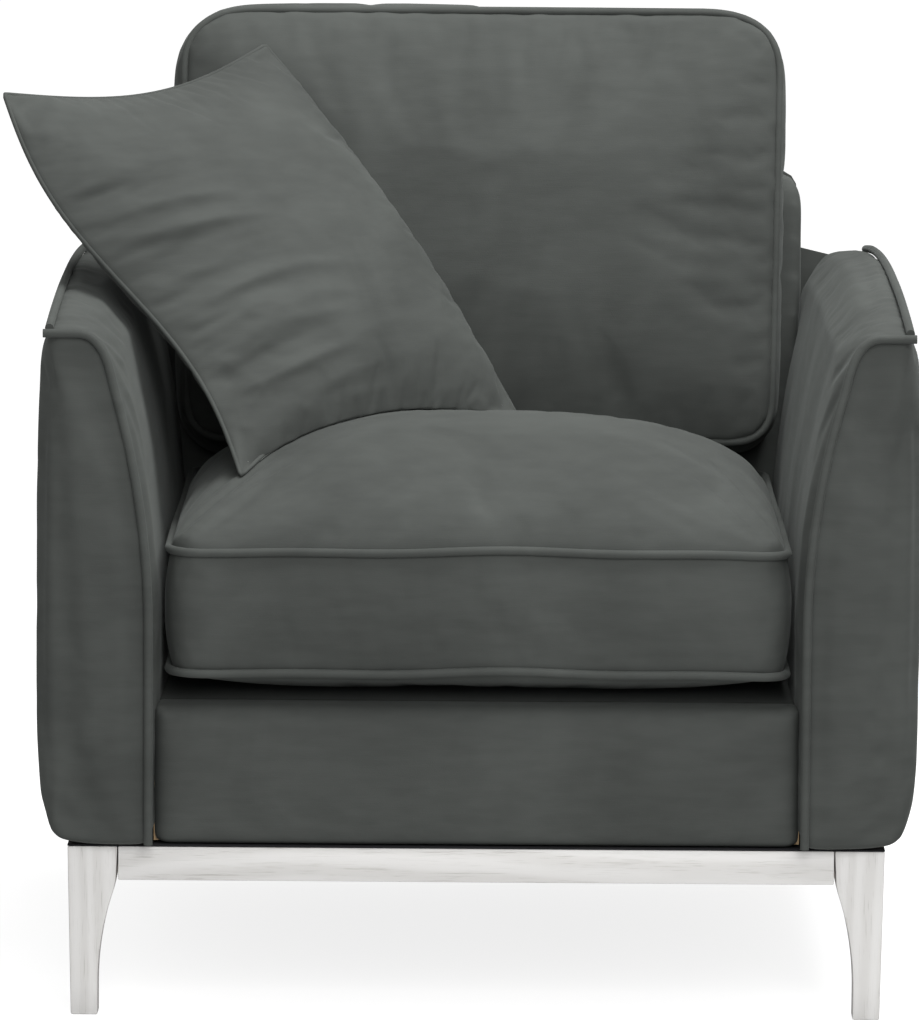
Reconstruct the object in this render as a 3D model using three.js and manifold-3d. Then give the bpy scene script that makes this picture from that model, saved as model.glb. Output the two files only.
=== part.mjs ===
// An upholstered armchair: a limed-oak leg frame, a sprung timber seat box, two padded arms and a padded
// back, with loose seat, back and scatter cushions. Millimetres, +Z up, the sitter faces -Y.
// Everything is laid out from the centre line (x = 0) and the plane of the arm fronts (y = 0); the last
// lines move the whole chair so that its origin is the middle of its footprint, on the floor.
import * as THREE from "three";
import { mergeVertices } from "three/addons/utils/BufferGeometryUtils.js";
import Module from "manifold-3d";

const wasm = await Module();
wasm.setup();

// ---------------------------------------------------------------- driving dimensions
const overallWidth = 840; // across both arms at their widest
const bodyDepth = 850; // arm fronts to the rear of the outside back
const bodyBase = 168; // floor to the underside of the upholstery
const armWidth = 107; // at the deck
const deckTop = 302; // floor to the sprung deck
const backDepth = 195; // outside back forward to the rear seat rail
const backTop = 756; // floor to the top of the fixed back
const recline = THREE.MathUtils.degToRad(10); // of the fixed back and the back cushion

// Fits
const touching = 0.3; // between pieces that bear on each other
const running = 1.5; // between upholstered pieces that only meet side by side
const cushionPlay = 3; // between a loose cushion and what it leans on
const seatCushionPlay = 10; // on each side, between the seat cushion and the arms
const backCushionPlay = 9; // on each side at the foot, between the back cushion and the arms
const backShoulderGap = 10; // on each side at the top, between the fixed back and the arms

// Covers and fillings
const coverThickness = 2;
const foamThickness = 18;
const weltRadius = 4;
const weltClearance = 1; // between a cushion's welt and its cover
const coreInset = 15; // cover to the core of a loose cushion
const deckThickness = 6;
const dustThickness = 1.4;
const panelThickness = 3.7; // outside back: fabric on board
const zipWidth = 9;
const zipSlider = 14;

// Leg frame
const legFrameInset = 26; // from the arms' widest line in to the leg frame
const legFrameSetback = 16; // from the arm fronts back to the leg frame
const legWidth = 48;
const footWidth = 26;
const legRake = 3; // the outer faces come in by this much at the floor
const legShoulder = 30; // height at which a leg's inner curve starts
const railHeight = 33;
const railThickness = 22;
const braceReach = 120; // along each rail from the outer corner
const braceHeight = 25;

// Timber
const timber = 28;
const boardThickness = 18;
const seatRailTop = 262;
const seatRailSetback = 30; // arm fronts to the front seat rail
const postDepth = 45;

// Arms
const armCrest = 696; // highest point of an arm
const armFrontTop = 667; // an arm's top at its front edge
const armRearTop = 674; // an arm's top at its rear edge
const armCrestSetback = 430; // arm fronts to the crest
const armFlareStart = 380; // above this the inner face flares outwards
const armFlareEnd = 640;
const armFlare = 34; // how far the inner face has gone out at armFlareEnd
const armShoulder = 0.55; // the rounded share of the top's width
const armEdgeIn = 7; // the outer top edge, in from the widest line
const armHemRadius = 19; // rounded outer lower corner
const armStations = 7; // lengths that an arm's curved top is made of

// Front border
const borderSetback = 15;
const borderDepth = 49;
const borderRadius = 14;
const springRoom = 8; // over the front rail, under the border's top roll

// Springs and webbing
const springCount = 4;
const springWire = 1.9; // radius
const springSwing = 22;
const springWaves = 10;
const springRise = 14;
const webCount = 3;
const webWidth = 60;
const webThickness = 1.5;

// Seat cushion
const seatBelly = 31; // its underside hangs this far below its lower seam
const seatBoxing = 117; // between the seams
const seatCrown = 92; // above its upper seam
const seatFall = 320; // the crown falls away over this much of the rear, under the back cushion
const seatSeamIn = 8; // its seams lie this much inside its bulging sides
const seatCornerRadius = 32;
const seatZipLength = 400;

// Back cushion, in its own reclined frame
const backCushionTopWidth = 608;
const backCushionHeight = 438;
const backCushionThickness = 150;
const backCushionCrown = 38;
const backCushionTopRadius = 62;
const backCushionLowRadius = 48;
const backCushionRise = 22; // its rear lower edge, above the seat cushion's upper seam
const backZipLength = 420;

// Scatter cushion, in its own frame
const scatterSide = 440;
const scatterThickness = 130;
const scatterEdge = 6;
const scatterIn = 90; // its centre, in from the left arm's inner face
const scatterForward = 303; // its centre, forward of the rear seat rail
const scatterRise = 252; // its centre, above the seat cushion's upper seam
const scatterFacing = new THREE.Vector3(0.598, -0.527, 0.604).normalize(); // where its face looks
const scatterLowerEdge = new THREE.Vector3(0.62, 0.782, 0.069); // how its lower edge runs
const scatterZipLength = 300;

// Places worked out from the sizes above
const halfWidth = overallWidth / 2;
const halfGap = halfWidth - armWidth;
const armDepth = bodyDepth - panelThickness - touching;
const boxHalf = halfGap - running; // half width of what sits between the arms
const baseTop = bodyBase - dustThickness - 2 * touching;
const railBottom = baseTop - railHeight;
const legFrameHalf = halfWidth - legFrameInset;
const legFrameRear = bodyDepth - legFrameSetback;
const paddingInset = coverThickness + 0.5;
const cavityInset = paddingInset + foamThickness;
const frameInset = cavityInset + 0.5;
const rearRailSetback = bodyDepth - backDepth;
const seatSeamLow = deckTop + coverThickness + cushionPlay + seatBelly;
const seatSeamTop = seatSeamLow + seatBoxing;

// The reclined front of the fixed back at a height, `into` mm inside its surface.
function backFaceAt(z, into = 0) {
  return rearRailSetback + Math.tan(recline) * (z - deckTop) + (into - paddingInset) / Math.cos(recline);
}

// ---------------------------------------------------------------- materials
const material = (color, roughness, metalness = 0) =>
  new THREE.MeshStandardMaterial({ color, roughness, metalness });
const velvet = material(0x4c4e4b, 0.85);
const oak = material(0xdddcd9, 0.6);
const pine = material(0xc9a775, 0.75);
const ply = material(0xb99668, 0.75);
const foam = material(0xe9e2c8, 0.95);
const fibre = material(0xf1efea, 0.95);
const lining = material(0x1d1d1e, 0.95);
const webbing = material(0x2a2723, 0.9);
const springSteel = material(0x8d9094, 0.35, 0.9);
const zipTape = material(0x35373a, 0.6);

// ---------------------------------------------------------------- solids and meshes
const axisX = new THREE.Vector3(1, 0, 0);
const axisY = new THREE.Vector3(0, 1, 0);
const axisZ = new THREE.Vector3(0, 0, 1);
// Where an outline's own two axes and its thickness go, for the ways an outline can stand.
const FRONT = new THREE.Matrix4().makeBasis(axisX, axisZ, axisY.clone().negate());
const SIDE = new THREE.Matrix4().makeBasis(axisY, axisZ, axisX);
const PLAN = new THREE.Matrix4();
const UPRIGHT = new THREE.Matrix4().makeBasis(axisZ, axisY, axisX.clone().negate());

function toSolid(geometry) {
  const bare = geometry.clone();
  bare.deleteAttribute("normal");
  bare.deleteAttribute("uv");
  const merged = mergeVertices(bare);
  return new wasm.Manifold(
    new wasm.Mesh({
      numProp: 3,
      vertProperties: merged.attributes.position.array,
      triVerts: new Uint32Array(merged.index.array),
    }),
  );
}

function toGeometry(solid) {
  const { vertProperties, triVerts } = solid.getMesh();
  const geometry = new THREE.BufferGeometry();
  geometry.setAttribute("position", new THREE.BufferAttribute(vertProperties, 3));
  geometry.setIndex(new THREE.BufferAttribute(triVerts, 1));
  return geometry;
}

// The same solid in another frame.
function inFrame(solid, matrix) {
  return toSolid(toGeometry(solid).applyMatrix4(matrix));
}

const chair = new THREE.Group();

function add(name, solid, finish, parent = chair) {
  const mesh = new THREE.Mesh(toGeometry(solid), finish);
  mesh.name = name;
  parent.add(mesh);
  return mesh;
}

// An outline thickened from `low` to `high` along the axis that its plane leaves free.
function prism(outline, low, high, plane, curveSegments = 6) {
  const depth = high - low;
  const geometry = new THREE.ExtrudeGeometry(outline, { depth, bevelEnabled: false, curveSegments });
  geometry.translate(0, 0, plane === FRONT ? -high : low);
  return toSolid(geometry.applyMatrix4(plane));
}

function block([x0, x1], [y0, y1], [z0, z1]) {
  const geometry = new THREE.BoxGeometry(x1 - x0, y1 - y0, z1 - z0);
  return toSolid(geometry.translate((x0 + x1) / 2, (y0 + y1) / 2, (z0 + z1) / 2));
}

function polygon(points) {
  return new THREE.Shape(points.map(([a, b]) => new THREE.Vector2(a, b)));
}

// A route that is visited exactly at its points, so that its corners stay where they are.
class Route extends THREE.Curve {
  constructor(points) {
    super();
    this.points = points;
  }
  getPoint(t, target = new THREE.Vector3()) {
    const along = t * (this.points.length - 1);
    const i = Math.min(Math.floor(along), this.points.length - 2);
    return target.lerpVectors(this.points[i], this.points[i + 1], along - i);
  }
  getUtoTmapping(u) {
    return u;
  }
}

// A round bar along a route.
function bar(points, radius) {
  const section = new THREE.Shape().absarc(0, 0, radius, 0, 2 * Math.PI);
  const extrudePath = new Route(points);
  const steps = points.length - 1;
  return toSolid(new THREE.ExtrudeGeometry(section, { extrudePath, steps, curveSegments: 3 }));
}

// A rounded rectangle, drawn anticlockwise.
function roundedRectangle(path, [x0, x1], [y0, y1], radius) {
  path.moveTo(x0 + radius, y0).lineTo(x1 - radius, y0);
  path.quadraticCurveTo(x1, y0, x1, y0 + radius).lineTo(x1, y1 - radius);
  path.quadraticCurveTo(x1, y1, x1 - radius, y1).lineTo(x0 + radius, y1);
  path.quadraticCurveTo(x0, y1, x0, y1 - radius).lineTo(x0, y0 + radius);
  return path.quadraticCurveTo(x0, y0, x0 + radius, y0);
}

// The welt round a cushion: a ring with a bevelled section, standing just outside the seam that
// `draw(path, outset)` gives, and centred on `at` along the axis that its plane leaves free.
function weltRing(draw, at, plane) {
  const bevel = weltRadius / 2;
  const depth = 2 * (weltRadius - bevel);
  const ring = draw(new THREE.Shape(), weltClearance + 2 * weltRadius - bevel);
  ring.holes.push(draw(new THREE.Path(), weltClearance + bevel));
  const geometry = new THREE.ExtrudeGeometry(ring, {
    depth,
    bevelThickness: bevel,
    bevelSize: bevel,
    bevelSegments: 1,
    curveSegments: 4,
  });
  geometry.translate(0, 0, (plane === FRONT ? -at : at) - depth / 2);
  return toSolid(geometry.applyMatrix4(plane));
}

// ---------------------------------------------------------------- leg frame
// A leg seen square on: straight outside, curved inside from the shoulder up to the rail.
// `edge` is where its outer face is, and `inward` (+1 or -1) the way to its inner face.
function legOutline(edge, inward) {
  const at = (across) => edge + inward * across;
  const curveMiddle = (legShoulder + railBottom) / 2;
  const shape = new THREE.Shape();
  shape.moveTo(at(0), baseTop).lineTo(at(legRake), 0).lineTo(at(legRake + footWidth), 0);
  shape.lineTo(at(legRake + footWidth), legShoulder);
  shape.quadraticCurveTo(at(legRake + footWidth), curveMiddle, at(legWidth), railBottom);
  shape.lineTo(at(legWidth), baseTop);
  return shape;
}

const corners = [
  ["front_left", -1, 1],
  ["front_right", 1, 1],
  ["rear_left", -1, -1],
  ["rear_right", 1, -1],
];
for (const [corner, side, backward] of corners) {
  const cornerX = side * legFrameHalf;
  const cornerY = backward > 0 ? legFrameSetback : legFrameRear;
  const fromFront = prism(legOutline(cornerX, -side), 0, bodyDepth, FRONT);
  const fromSide = prism(legOutline(cornerY, backward), -halfWidth, halfWidth, SIDE);
  add(`leg_${corner}`, fromFront.intersect(fromSide), oak);

  const x = (inward) => cornerX - side * inward;
  const y = (inward) => cornerY + backward * inward;
  const clearRail = railThickness + touching;
  const clearLeg = legWidth + touching;
  const brace = polygon([
    [x(clearRail), y(braceReach)],
    [x(clearRail), y(clearLeg)],
    [x(clearLeg), y(clearLeg)],
    [x(clearLeg), y(clearRail)],
    [x(braceReach), y(clearRail)],
  ]);
  add(`corner_brace_${corner}`, prism(brace, baseTop - braceHeight, baseTop, PLAN), pine);
}

const railX = legFrameHalf - legWidth - touching;
const railY = [legFrameSetback + legWidth + touching, legFrameRear - legWidth - touching];
const railZ = [railBottom, baseTop];
const railFront = [legFrameSetback, legFrameSetback + railThickness];
const railRear = [legFrameRear - railThickness, legFrameRear];
add("base_rail_front", block([-railX, railX], railFront, railZ), oak);
add("base_rail_rear", block([-railX, railX], railRear, railZ), oak);
add("base_rail_left", block([-legFrameHalf, -legFrameHalf + railThickness], railY, railZ), oak);
add("base_rail_right", block([legFrameHalf - railThickness, legFrameHalf], railY, railZ), oak);

// ---------------------------------------------------------------- seat box
const seatRailZ = [bodyBase + coverThickness, seatRailTop];
const frontRailY = [seatRailSetback, seatRailSetback + timber];
const rearRailY = [rearRailSetback, rearRailSetback + timber];
const crossHalf = boxHalf - timber - touching;
const sideRailY = [frontRailY[1] + touching, armDepth - coverThickness];
add("seat_rail_front", block([-boxHalf, boxHalf], frontRailY, seatRailZ), pine);
add("seat_rail_rear", block([-crossHalf, crossHalf], rearRailY, seatRailZ), pine);
add("seat_rail_left", block([-boxHalf, -boxHalf + timber], sideRailY, seatRailZ), pine);
add("seat_rail_right", block([boxHalf - timber, boxHalf], sideRailY, seatRailZ), pine);

// Zigzag springs run from the front rail to the rear rail and rise a little in the middle.
function zigzagSpring(x) {
  const from = (frontRailY[0] + frontRailY[1]) / 2;
  const to = (rearRailY[0] + rearRailY[1]) / 2;
  const stationsPerWave = 4;
  const last = springWaves * stationsPerWave;
  const points = [];
  for (let i = 0; i <= last; i++) {
    const swing = springSwing * Math.sin((2 * Math.PI * i) / stationsPerWave);
    const rise = springRise * Math.sin((Math.PI * i) / last);
    const y = THREE.MathUtils.lerp(from, to, i / last);
    points.push(new THREE.Vector3(x + swing, y, seatRailTop + springWire + touching + rise));
  }
  return bar(points, springWire);
}
for (let i = 0; i < springCount; i++) {
  const x = crossHalf * ((2 * i + 1) / springCount - 1);
  add(`zigzag_spring_${i + 1}`, zigzagSpring(x), springSteel);
}

// The front border: a padded roll over the front rail, under a cover that hangs to the hem.
function borderProfile(inset, low, rear) {
  const front = borderSetback + inset;
  const top = deckTop + coverThickness - inset;
  const radius = borderRadius - inset;
  const shape = new THREE.Shape();
  shape.moveTo(front, low).lineTo(front, top - radius);
  shape.quadraticCurveTo(front, top, front + radius, top).lineTo(rear, top).lineTo(rear, low);
  return prism(shape, -boxHalf, boxHalf, SIDE, 4);
}
const borderRear = borderSetback + borderDepth;
const borderHollow = borderProfile(coverThickness, 0, bodyDepth);
const borderUnder = [0, seatRailTop + springRoom];
const overRail = block([-halfWidth, halfWidth], [frontRailY[0] - touching, bodyDepth], borderUnder);
const borderShell = borderProfile(0, bodyBase + touching, borderRear).subtract(borderHollow);
const borderRoll = borderProfile(paddingInset, seatRailZ[0], borderRear).subtract(overRail);
add("front_border_cover", borderShell, velvet);
add("front_border_padding", borderRoll, foam);

const deckZ = [deckTop - deckThickness, deckTop];
const deckY = [borderRear + running, backFaceAt(deckZ[0]) - running];
add("seat_deck", block([-boxHalf, boxHalf], deckY, deckZ), velvet);

// The dust cover closes the whole underside, between the body and the leg frame.
const dustZ = [baseTop + touching, baseTop + touching + dustThickness];
const dustHalf = halfWidth - armEdgeIn - armHemRadius;
const dustY = [borderSetback, bodyDepth - panelThickness];
add("dust_cover", block([-dustHalf, dustHalf], dustY, dustZ), lining);

// ---------------------------------------------------------------- arms
// An arm's top at a distance back from the arm fronts: it rises to the crest, then falls a little.
function armTopAt(y) {
  const [end, span] = y < armCrestSetback
    ? [armFrontTop, armCrestSetback]
    : [armRearTop, armDepth - armCrestSetback];
  return armCrest - (armCrest - end) * ((y - armCrestSetback) / span) ** 2;
}

// The height that a point of the arm's outline has at a distance back from the arm fronts.
function alongArm(z, y) {
  const share = THREE.MathUtils.clamp((z - armFlareStart) / (armCrest - armFlareStart), 0, 1);
  return z - share * (armCrest - armTopAt(y));
}

// An arm cut across at its crest: flared inner face, rounded shoulder, sharp outer top edge, bulging
// outer face, rounded hem. It is drawn `inset` inside the cover's outside; `open` runs it on down
// to the floor, to cut an open underside.
function armOutline(side, inset, open) {
  const x = (across) => side * across;
  const inner = halfGap + inset;
  const outer = halfWidth - inset;
  const innerTop = inner + armFlare;
  const edge = outer - armEdgeIn;
  const shoulder = THREE.MathUtils.lerp(innerTop, edge, armShoulder);
  const top = armCrest - inset;
  const low = bodyBase + inset;
  const hem = Math.max(armHemRadius - inset, touching);
  const waist = (bodyBase + armCrest) / 2;
  const foot = open ? 0 : low;
  const shape = new THREE.Shape();
  shape.moveTo(x(inner), foot).lineTo(x(inner), armFlareStart);
  shape.quadraticCurveTo(x(inner), (armFlareStart + armFlareEnd) / 2, x(innerTop), armFlareEnd);
  shape.quadraticCurveTo(x(innerTop + armFlare / 4), top, x(shoulder), top).lineTo(x(edge), top);
  shape.quadraticCurveTo(x(outer), top - armHemRadius * 3, x(outer), waist);
  shape.quadraticCurveTo(x(outer), low + 2 * hem, x(edge), low + hem);
  shape.quadraticCurveTo(x(edge), low, x(edge - hem), low).lineTo(x(edge - hem), foot);
  return shape;
}

function armSolid(side, inset, open = false) {
  const geometry = new THREE.ExtrudeGeometry(armOutline(side, inset, open), {
    depth: armDepth,
    bevelEnabled: false,
    steps: armStations,
    curveSegments: 4,
  });
  geometry.translate(0, 0, -armDepth);
  geometry.applyMatrix4(FRONT);
  const { position } = geometry.attributes;
  for (let i = 0; i < position.count; i++) {
    position.setZ(i, alongArm(position.getZ(i), position.getY(i)));
  }
  const along = [inset, armDepth - inset];
  return toSolid(geometry).intersect(block([-halfWidth, halfWidth], along, [0, armCrest]));
}

// The welt of an arm: up the inner edge of the facing, over to the outer corner, back along the top.
function armWelt(side) {
  const clear = weltRadius + touching;
  const outerEdge = halfWidth - armEdgeIn - weltRadius;
  const rim = armOutline(side, weltRadius).getPoints(4);
  const corner = rim.findIndex((point) => Math.abs(point.x) > outerEdge - touching);
  const points = rim
    .slice(0, corner)
    .map((point) => new THREE.Vector3(point.x, -clear, alongArm(point.y, 0)));
  points.push(new THREE.Vector3(side * outerEdge, -clear, armFrontTop + clear));
  for (let i = 1; i <= armStations; i++) {
    const y = (armDepth * i) / armStations;
    points.push(new THREE.Vector3(side * outerEdge, y, armTopAt(y) + clear));
  }
  return bar(points, weltRadius);
}

for (const [hand, side] of [["left", -1], ["right", 1]]) {
  const shell = armSolid(side, 0).subtract(armSolid(side, coverThickness, true));
  const padding = armSolid(side, paddingInset).subtract(armSolid(side, cavityInset, true));
  add(`arm_cover_${hand}`, shell, velvet);
  add(`arm_padding_${hand}`, padding, foam);
  add(`arm_piping_${hand}`, armWelt(side), velvet);

  const low = seatRailZ[0];
  const frameSpace = armSolid(side, frameInset, true);
  const frontY = [frameInset, frameInset + boardThickness];
  const rearY = [armDepth - frameInset - boardThickness, armDepth - frameInset];
  const betweenY = [frontY[1] + touching, rearY[0] - touching];
  const cut = (along, up) => frameSpace.intersect(block([-halfWidth, halfWidth], along, up));
  add(`arm_front_board_${hand}`, cut(frontY, [low, armCrest]), ply);
  add(`arm_rear_board_${hand}`, cut(rearY, [low, armCrest]), ply);
  add(`arm_top_rail_${hand}`, cut(betweenY, [armFlareEnd - 2 * timber, armFlareEnd - timber]), pine);
  add(`arm_base_rail_${hand}`, cut(betweenY, [low, low + 1.5 * timber]), pine);
}

// ---------------------------------------------------------------- fixed back
const backLow = seatRailTop + springRoom + touching;
const backCorner = 26;

// Up one side of the fixed back: straight, then flaring with the arm's inner face.
function backOutline(inset, low) {
  const foot = boxHalf - inset;
  const half = halfGap + armFlare - backShoulderGap - inset;
  const top = backTop - inset;
  const flareMiddle = (armFlareStart + armFlareEnd) / 2;
  const shape = new THREE.Shape();
  shape.moveTo(foot, low).lineTo(foot, armFlareStart);
  shape.quadraticCurveTo(foot, flareMiddle, half, armFlareEnd).lineTo(half, top - backCorner);
  shape.quadraticCurveTo(half, top, half - backCorner, top).lineTo(backCorner - half, top);
  shape.quadraticCurveTo(-half, top, -half, top - backCorner).lineTo(-half, armFlareEnd);
  shape.quadraticCurveTo(-foot, flareMiddle, -foot, armFlareStart).lineTo(-foot, low);
  return shape;
}

// The fixed back from the side: reclined front, rounded over the top, upright rear.
function backProfile(inset, low) {
  const rear = armDepth - inset;
  const top = backTop - inset;
  const start = backFaceAt(top, inset);
  const shape = new THREE.Shape();
  shape.moveTo(backFaceAt(low, inset), low);
  shape.lineTo(backFaceAt(top - backCorner, inset), top - backCorner);
  shape.quadraticCurveTo(start, top, start + backCorner, top).lineTo(rear - backCorner, top);
  shape.quadraticCurveTo(rear, top, rear, top - backCorner).lineTo(rear, low);
  return shape;
}

function backSolid(inset, low = backLow) {
  const across = prism(backOutline(inset, low), 0, bodyDepth, FRONT, 4);
  return across.intersect(prism(backProfile(inset, low), -halfWidth, halfWidth, SIDE, 4));
}

add("back_cover", backSolid(0).subtract(backSolid(coverThickness, 0)), velvet);
add("back_padding", backSolid(paddingInset).subtract(backSolid(cavityInset, 0)), foam);

// A timber or strap along the reclined face, from `into` to `into + depth` behind it.
function alongBack(into, depth, [low, high], [x0, x1]) {
  const outline = polygon([
    [backFaceAt(low, into), low],
    [backFaceAt(low, into + depth), low],
    [backFaceAt(high, into + depth), high],
    [backFaceAt(high, into), high],
  ]);
  return prism(outline, x0, x1, SIDE);
}
const postInto = frameInset + webThickness + touching;
const postTop = backTop - frameInset - backCorner / 2;
const postOuter = boxHalf - frameInset;
const postInner = postOuter - timber;
const postZ = [seatRailTop + touching, postTop];
const topRailZ = [postTop - 2 * timber, postTop];
const topRailX = [touching - postInner, postInner - touching];
add("back_post_left", alongBack(postInto, postDepth, postZ, [-postOuter, -postInner]), pine);
add("back_post_right", alongBack(postInto, postDepth, postZ, [postInner, postOuter]), pine);
add("back_top_rail", alongBack(postInto, timber, topRailZ, topRailX), pine);
const webPitch = (topRailZ[0] - deckTop) / webCount;
for (let i = 0; i < webCount; i++) {
  const low = deckTop + (i + 0.5) * webPitch - webWidth / 2;
  const strap = alongBack(frameInset, webThickness, [low, low + webWidth], [-postOuter, postOuter]);
  add(`back_webbing_${i + 1}`, strap, webbing);
}

// The outside back closes the rear of both arms and of the fixed back in one panel.
function outsideBackOutline() {
  const low = bodyBase + touching;
  const outer = halfWidth - armEdgeIn;
  const half = halfGap + armFlare - backShoulderGap;
  const hem = armHemRadius;
  const shape = new THREE.Shape();
  shape.moveTo(outer - hem, low).quadraticCurveTo(outer, low, outer, low + hem);
  shape.lineTo(outer, armRearTop).lineTo(half, armRearTop).lineTo(half, backTop - backCorner);
  shape.quadraticCurveTo(half, backTop, half - backCorner, backTop).lineTo(backCorner - half, backTop);
  shape.quadraticCurveTo(-half, backTop, -half, backTop - backCorner).lineTo(-half, armRearTop);
  shape.lineTo(-outer, armRearTop).lineTo(-outer, low + hem);
  shape.quadraticCurveTo(-outer, low, hem - outer, low);
  return shape;
}
const panelY = [bodyDepth - panelThickness, bodyDepth];
add("outside_back", prism(outsideBackOutline(), ...panelY, FRONT, 4), velvet);

// ---------------------------------------------------------------- loose cushions
// A zip, lying in its slot through a cover: its tape with the slider at one end.
function zip(length) {
  const tape = block([-length / 2, length / 2], [0, coverThickness], [-zipWidth / 2, zipWidth / 2]);
  const sliderX = [length / 2 - zipSlider, length / 2 - touching];
  const slider = block(sliderX, [coverThickness / 2, 1.5 * coverThickness], [-zipWidth / 3, zipWidth / 3]);
  return tape.add(slider);
}

// How far a slot reaches on each side of its middle, for what lies in it.
const slotAcross = (size) => [-size / 2 - touching, size / 2 + touching];
const seatWidth = 2 * (halfGap - seatCushionPlay);
const seatDepth = backFaceAt(seatSeamLow) - cushionPlay - 2 * weltRadius - weltClearance;

// The seat cushion from the front: hanging belly, bulging boxing, crowned top.
function seatFront(inset) {
  const bulge = seatWidth / 2 - inset;
  const seam = bulge - seatSeamIn;
  const low = seatSeamLow + inset;
  const high = seatSeamTop - inset;
  const belly = low - seatBelly;
  const crown = high + seatCrown;
  const middle = (low + high) / 2;
  const shape = new THREE.Shape();
  shape.moveTo(-seam, low).quadraticCurveTo(-seam * 0.8, belly, -seam * 0.6, belly);
  shape.lineTo(seam * 0.6, belly).quadraticCurveTo(seam * 0.8, belly, seam, low);
  shape.quadraticCurveTo(bulge + seatSeamIn, middle, seam, high);
  shape.quadraticCurveTo(seam * 0.85, crown, seam * 0.35, crown).lineTo(-seam * 0.35, crown);
  shape.quadraticCurveTo(-seam * 0.85, crown, -seam, high);
  shape.quadraticCurveTo(-bulge - seatSeamIn, middle, -seam, low);
  return shape;
}

// The seat cushion from the side: its crown is forward of the middle and falls away to the rear.
function seatSide(inset) {
  const front = inset;
  const seam = front + seatSeamIn;
  const rear = seatDepth - inset;
  const low = seatSeamLow + inset;
  const high = seatSeamTop - inset;
  const belly = low - seatBelly;
  const crown = high + seatCrown;
  const shape = new THREE.Shape();
  shape.moveTo(seam, low).quadraticCurveTo(seatDepth * 0.1, belly, seatDepth * 0.2, belly);
  shape.lineTo(seatDepth * 0.8, belly).quadraticCurveTo(seatDepth * 0.9, belly, rear, low);
  shape.lineTo(rear, high).lineTo(rear - seatFall, crown);
  shape.quadraticCurveTo(seam, crown, seam, high);
  shape.quadraticCurveTo(front - seatSeamIn, (low + high) / 2, seam, low);
  return shape;
}

function seatSolid(inset) {
  const half = seatWidth / 2 - inset;
  const radius = seatCornerRadius + 8 * seatSeamIn - inset; // rounder than the seams, clear of the welts
  const plan = roundedRectangle(new THREE.Shape(), [-half, half], [inset, seatDepth - inset], radius);
  return prism(seatFront(inset), 0, bodyDepth, FRONT, 5)
    .intersect(prism(seatSide(inset), -halfWidth, halfWidth, SIDE, 5))
    .intersect(prism(plan, 0, armCrest, PLAN, 4));
}

// The seam that both of the seat cushion's welts follow, drawn `outset` outside its cover.
function seatSeam(path, outset) {
  const half = seatWidth / 2 - seatSeamIn + outset;
  const along = [seatSeamIn - outset, seatDepth + outset];
  return roundedRectangle(path, [-half, half], along, seatCornerRadius + outset);
}

const seatZipAt = new THREE.Vector3(0, seatDepth - coverThickness, (seatSeamLow + seatSeamTop) / 2);
const seatSlot = block(
  slotAcross(seatZipLength),
  [seatDepth - 2 * coverThickness, bodyDepth],
  slotAcross(zipWidth).map((z) => seatZipAt.z + z),
);
const seatShell = seatSolid(0).subtract(seatSolid(coverThickness)).subtract(seatSlot);
add("seat_cushion_cover", seatShell, velvet);
add("seat_cushion_core", seatSolid(coreInset), foam);
add("seat_cushion_piping_top", weltRing(seatSeam, seatSeamTop, PLAN), velvet);
add("seat_cushion_piping_bottom", weltRing(seatSeam, seatSeamLow, PLAN), velvet);
add("seat_cushion_zip", zip(seatZipLength), zipTape).position.copy(seatZipAt);

// The back cushion's own frame: z runs up its reclined rear face, which is its plane y = 0.
const backCushion = new THREE.Group();
const backCushionFoot = seatSeamTop + backCushionRise;
backCushion.position.set(0, backFaceAt(backCushionFoot, -cushionPlay), backCushionFoot);
backCushion.rotation.x = -recline;
chair.add(backCushion);

// The back cushion's face and seam: narrower at the foot, rounded more at the top.
function backFace(path, outset) {
  const low = halfGap - backCushionPlay + outset;
  const top = backCushionTopWidth / 2 + outset;
  const head = backCushionHeight + outset;
  const lowRadius = backCushionLowRadius + outset;
  const topRadius = backCushionTopRadius + outset;
  path.moveTo(-low + lowRadius, -outset).lineTo(low - lowRadius, -outset);
  path.quadraticCurveTo(low, -outset, low, lowRadius - outset).lineTo(top, head - topRadius);
  path.quadraticCurveTo(top, head, top - topRadius * 1.3, head);
  path.lineTo(-top + topRadius * 1.3, head).quadraticCurveTo(-top, head, -top, head - topRadius);
  path.lineTo(-low, lowRadius - outset);
  return path.quadraticCurveTo(-low, -outset, -low + lowRadius, -outset);
}

// A section through the cushion's thickness, crowned at the front between `low` and `high`.
function crownedSection(inset, low, high) {
  const face = inset - backCushionThickness;
  const shape = new THREE.Shape();
  shape.moveTo(low, -inset).lineTo(low, face);
  shape.quadraticCurveTo((low + high) / 2, face - 2 * backCushionCrown, high, face);
  shape.lineTo(high, -inset);
  return shape;
}

function backCushionSolid(inset) {
  const half = backCushionTopWidth / 2 + backCushionPlay - inset;
  const along = crownedSection(inset, inset, backCushionHeight - inset);
  const across = crownedSection(inset, -half, half);
  const reach = backCushionThickness + backCushionCrown;
  return prism(backFace(new THREE.Shape(), -inset), -reach, 0, FRONT, 4)
    .intersect(prism(along, -halfWidth, halfWidth, UPRIGHT, 8))
    .intersect(prism(across, 0, backCushionHeight, PLAN, 8));
}

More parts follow.
